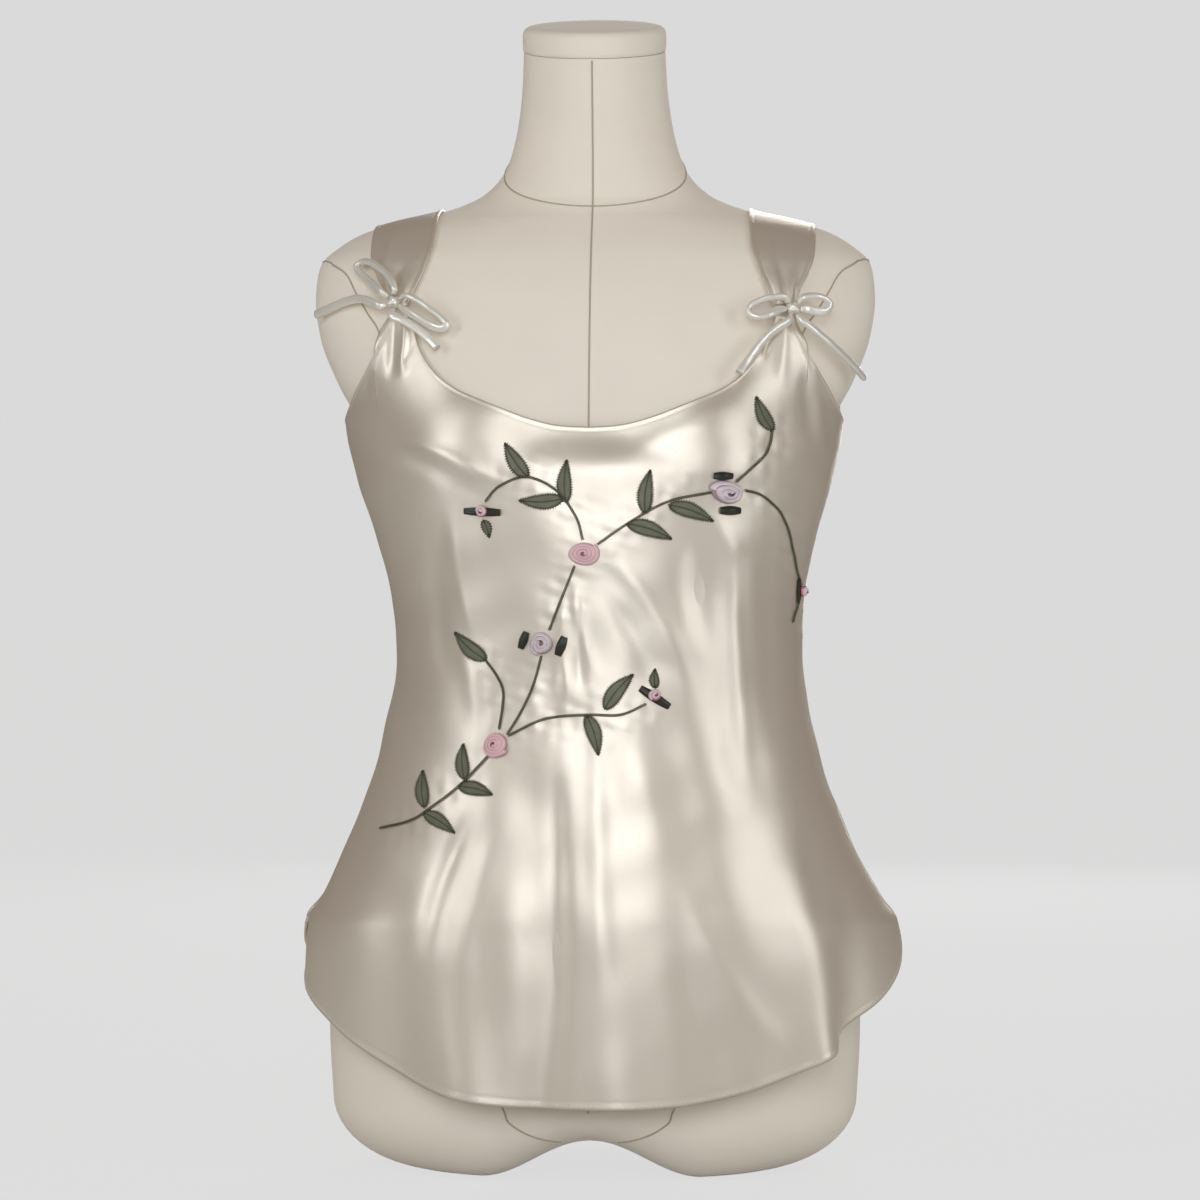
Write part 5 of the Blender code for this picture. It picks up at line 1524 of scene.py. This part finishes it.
def rope_along(route):
    """Two strands round a route, on circles that turn once in each pitch of the rope."""
    _, across, out = frame_along(route, 0.0, 0.01)
    grids = []
    for phase in (0.0, math.pi):
        turn = (2 * math.pi * lengths_along(route) / ROPE_PITCH + phase)[:, None]
        strand = route + ROPE * (np.cos(turn) * across + np.sin(turn) * out)
        grids.append(tube_along(strand, STRAND, around=6))
    return grids


stem_grids = []
for route in STEMS_MM.values():
    seen = smooth_route(np.array(route) * MM, ROPE_SPACING)
    stem_grids += rope_along(on_front(seen[:, 0], seen[:, 1], ROPE_LIFT))
points, faces = join_tubes(stem_grids)
make_piece("vine_stems", points, faces, OLIVE)

# %% Leaves
Leaf = namedtuple("Leaf", "name x z length lean wide")
LEAVES_MM = [
    Leaf("leaf_a1", -38.7, 461.5, 26.3, 125, 9.8), Leaf("leaf_a2", -14.0, 445.3, 26.5, 89, 9.4),
    Leaf("leaf_a3", -16.0, 447.2, 27.9, -178, 9.8), Leaf("leaf_bud_left", -67.5, 433.8, 11.7, -70, 6.4),
    Leaf("leaf_b1", 36.9, 438.2, 27.4, 83, 9.8), Leaf("leaf_b2", 26.0, 431.1, 29.3, -19, 10.2),
    Leaf("leaf_b3", 52.4, 443.4, 29.5, -20, 9.8), Leaf("leaf_c1", 118.7, 492.7, 23.7, 116, 9.0),
    Leaf("leaf_g1", -65.9, 343.1, 27.3, 140, 9.8), Leaf("leaf_h1", 11.2, 311.7, 28.3, 51, 10.2),
    Leaf("leaf_h2", -0.4, 307.2, 26.3, -73, 9.8), Leaf("leaf_bud_lower", 43.4, 325.1, 12.3, 90, 6.4),
    Leaf("leaf_i1", -80.0, 265.3, 22.5, 91, 9.0), Leaf("leaf_i2", -83.3, 260.7, 22.5, -12, 9.0),
    Leaf("leaf_i3", -106.4, 246.4, 23.2, 93, 9.0), Leaf("leaf_i4", -106.3, 242.6, 23.1, -30, 9.0),
]
LEAF_SWELL, LEAF_BEND, LEAF_STITCH, LEAF_SLANT = 0.72, 0.05, 1.25, 0.9
LEAF_CROWN, LEAF_LIFT, STITCH_HIGH, VEIN_DEEP, VEIN_WIDE = 0.55, 0.14, 0.14, 0.42, 0.45
LEAF_SHADE, VEIN_DARK, GAP_DARK = 0.48, 0.42, 0.6


def leaf_half(share):
    """Half width of a leaf along its length: sin(pi s^0.72)^0.8 is fullest before the middle."""
    return np.sin(math.pi * np.clip(share, 0, 1) ** LEAF_SWELL) ** 0.80


def in_leaf(leaf, along, across):
    """Seen x and z of a place in a leaf, in metres. The leaf bends a little to one side."""
    lean = math.radians(leaf.lean)
    bend = LEAF_BEND * leaf.length * np.sin(math.pi * along)
    a, b = along * leaf.length, across + bend
    x = leaf.x + a * math.cos(lean) - b * math.sin(lean)
    z = leaf.z + a * math.sin(lean) + b * math.cos(lean)
    return x * MM, z * MM


def leaf_surface(leaf):
    """Raised leaf: crown sqrt(1 - b^2) less a vein, with slanted stitches across both halves."""
    along, b = np.meshgrid(np.linspace(0, 1, 130), np.linspace(-1, 1, 25), indexing="ij")
    half = 0.5 * leaf.wide * leaf_half(0.02 + 0.96 * along)
    x, z = in_leaf(leaf, along, b * half)
    slant = along * leaf.length + np.abs(b) * half * LEAF_SLANT
    stitches = np.sin(2 * math.pi * slant / LEAF_STITCH)
    crown = LEAF_CROWN * np.sqrt(np.clip(1 - b**2, 0, 1)) + STITCH_HIGH * stitches * (1 - b**2)
    crown = crown + LEAF_LIFT - VEIN_DEEP * np.exp(-((b * half / VEIN_WIDE) ** 2))
    # Painted shade: the vein's groove and the gaps between raised stitches are coloured darker.
    vein = np.exp(-((b * half / VEIN_DARK) ** 2))
    stitch_gap_shade = np.clip(-stitches, 0, 1) ** 2 * GAP_DARK
    shade = np.clip(LEAF_SHADE + (1 - LEAF_SHADE) * np.maximum(vein, stitch_gap_shade), 0, 1)
    return on_front(x, z, crown * MM), np.stack([along, shade], -1)


print(f"{len(LEAVES_MM)} leaves")

# %% Stitches round the leaves
TOOTH_STEP, WHOLE_WIDTH = 1.50, 9.0
TOOTH_LIFT = np.array([0.55, 0.62, 0.45, 0.12]) * MM
TOOTH_RADIUS = np.array([0.16, 0.42, 0.40, 0.18]) * MM


def edge_stitches(leaf):
    """Short threads across the leaf's outline, about 1.5 mm apart, shorter on a small leaf."""
    share = np.linspace(0.0, 1.0, 400)
    edge = np.stack([share * leaf.length, 0.5 * leaf.wide * leaf_half(share)], -1)
    places = even_along(edge, round(whole_length(edge) / TOOTH_STEP))
    way = unit(np.gradient(places, axis=0))
    normal = np.stack([-way[:, 1], way[:, 0]], -1)
    small = min(1.0, leaf.wide / WHOLE_WIDTH) ** 2
    seen = []
    for sign in (-1, 1):
        for k, (place, out) in enumerate(zip(places, normal)):
            reach = small * (0.70 + 0.20 * math.sin(k * 2.4 + leaf.x))
            line = place + np.outer(np.array([-1.3, -0.5, 0.4 * small, reach + 0.25]), out)
            seen.append(in_leaf(leaf, line[:, 0] / leaf.length, sign * line[:, 1]))
    x, z = np.array(seen).swapaxes(0, 1)
    laid = on_front(x, z, np.broadcast_to(TOOTH_LIFT, x.shape))
    return [tube_along(row, TOOTH_RADIUS, around=5) for row in laid]


leaf_points, leaf_faces, leaf_layers, teeth, first = [], [], [], [], 0
for leaf in LEAVES_MM:
    grid, layers = leaf_surface(leaf)
    leaf_faces += [tuple(f) for f in sheet_quads(*grid.shape[:2], first)]
    first += grid.shape[0] * grid.shape[1]
    leaf_points.append(grid.reshape(-1, 3))
    leaf_layers.append(layers.reshape(-1, 2))
    teeth += edge_stitches(leaf)
make_piece("vine_leaves", np.concatenate(leaf_points), leaf_faces, LEAF,
           layers=np.concatenate(leaf_layers))
points, faces = join_tubes(teeth)
make_piece("vine_leaf_edges", points, faces, DARK)

# %% [markdown]
# ## Light and floor
# The figure stands on a plain pale floor in front of a pale wall. One large soft light near the
# camera gives satin its broad shine and lets the sides fall dark. A narrow strip on each side
# draws a thin bright line there, and a light behind parts the back from the wall. The surroundings
# are dim for the cloth and pale for the camera, which a real studio does with flags.

# %% Lights
def soft_light(name, place, aim, size, power, colour=(1.0, 1.0, 1.0)):
    """Rectangular area light at `place` that faces `aim`."""
    data = bpy.data.lights.new(name, "AREA")
    data.shape = "RECTANGLE"
    data.size, data.size_y = size
    data.energy = power
    data.color = colour
    lamp = bpy.data.objects.new(name, data)
    lamp.location = place
    way = np.array(aim) - np.array(place)
    lamp.rotation_euler = (
        math.atan2(math.hypot(way[0], way[1]), -way[2]), 0.0, math.atan2(-way[0], way[1]),
    )
    lamp.visible_camera = False
    bpy.context.collection.objects.link(lamp)
    return lamp


COOL = (0.87, 0.94, 1.0)
soft_light("key", (0.05, -2.6, 1.10), (0.0, 0.0, 0.34), (1.15, 1.5), 22.5, COOL)
soft_light("left_strip", (-1.70, -1.35, 1.00), (0.0, 0.0, 0.40), (0.40, 1.3), 9.0, COOL)
soft_light("right_strip", (1.75, -1.15, 0.85), (0.0, 0.0, 0.40), (0.35, 1.4), 8.0, COOL)
soft_light("behind", (0.3, 2.4, 1.2), (0.0, 0.0, 0.4), (1.2, 1.6), 24.0)

print(f"{len(bpy.data.lights)} lights, {sum(lamp.energy for lamp in bpy.data.lights):.1f} W in all")

# %% Surroundings
PALE_WALL, DIM_ROOM = (0.70, 0.70, 0.70, 1.0), (0.235, 0.204, 0.170, 1.0)
world = bpy.data.worlds.new("studio")
world.use_nodes = True
bpy.context.scene.world = world
nodes, link = world.node_tree.nodes, world.node_tree.links.new
background = nodes["Background"]
path = nodes.new("ShaderNodeLightPath")
level = nodes.new("ShaderNodeMix")
level.data_type = "RGBA"
level.inputs["A"].default_value = DIM_ROOM
level.inputs["B"].default_value = PALE_WALL
link(path.outputs["Is Camera Ray"], level.inputs["Factor"])
link(level.outputs["Result"], background.inputs["Color"])
print(f"the camera sees {PALE_WALL[0]}, and the cloth is lit by {DIM_ROOM[:3]}")

# %% Floor
PAPER, PAPER_GLOW, REACH, FLOOR_DROP = (0.75, 0.75, 0.75, 1.0), 0.92, 40.0, 0.0005
floor_mesh = bpy.data.meshes.new("floor")
corners = [(-REACH, -REACH, 0), (REACH, -REACH, 0), (REACH, REACH, 0), (-REACH, REACH, 0)]
floor_mesh.from_pydata(corners, [], [(0, 1, 2, 3)])
paper = bpy.data.materials.new("floor_paper")
paper.use_nodes = True
nodes, link = paper.node_tree.nodes, paper.node_tree.links.new
lit = nodes["Principled BSDF"]
lit.inputs["Base Color"].default_value = PAPER
lit.inputs["Roughness"].default_value = 0.9
glow = nodes.new("ShaderNodeEmission")
glow.inputs["Color"].default_value = PAPER
seen = nodes.new("ShaderNodeLightPath")
share = nodes.new("ShaderNodeMath")
share.operation = "MULTIPLY"
share.inputs[1].default_value = PAPER_GLOW
blend = nodes.new("ShaderNodeMixShader")
link(seen.outputs["Is Camera Ray"], share.inputs[0])
link(share.outputs["Value"], blend.inputs["Fac"])
link(lit.outputs["BSDF"], blend.inputs[1])
link(glow.outputs["Emission"], blend.inputs[2])
link(blend.outputs["Shader"], nodes["Material Output"].inputs["Surface"])
floor_mesh.materials.append(paper)
floor = bpy.data.objects.new("floor", floor_mesh)
floor.location.z = -FLOOR_DROP
bpy.context.collection.objects.link(floor)

bpy.context.scene.view_settings.view_transform = "Standard"
print(f"floor {2 * REACH:.0f} m wide")
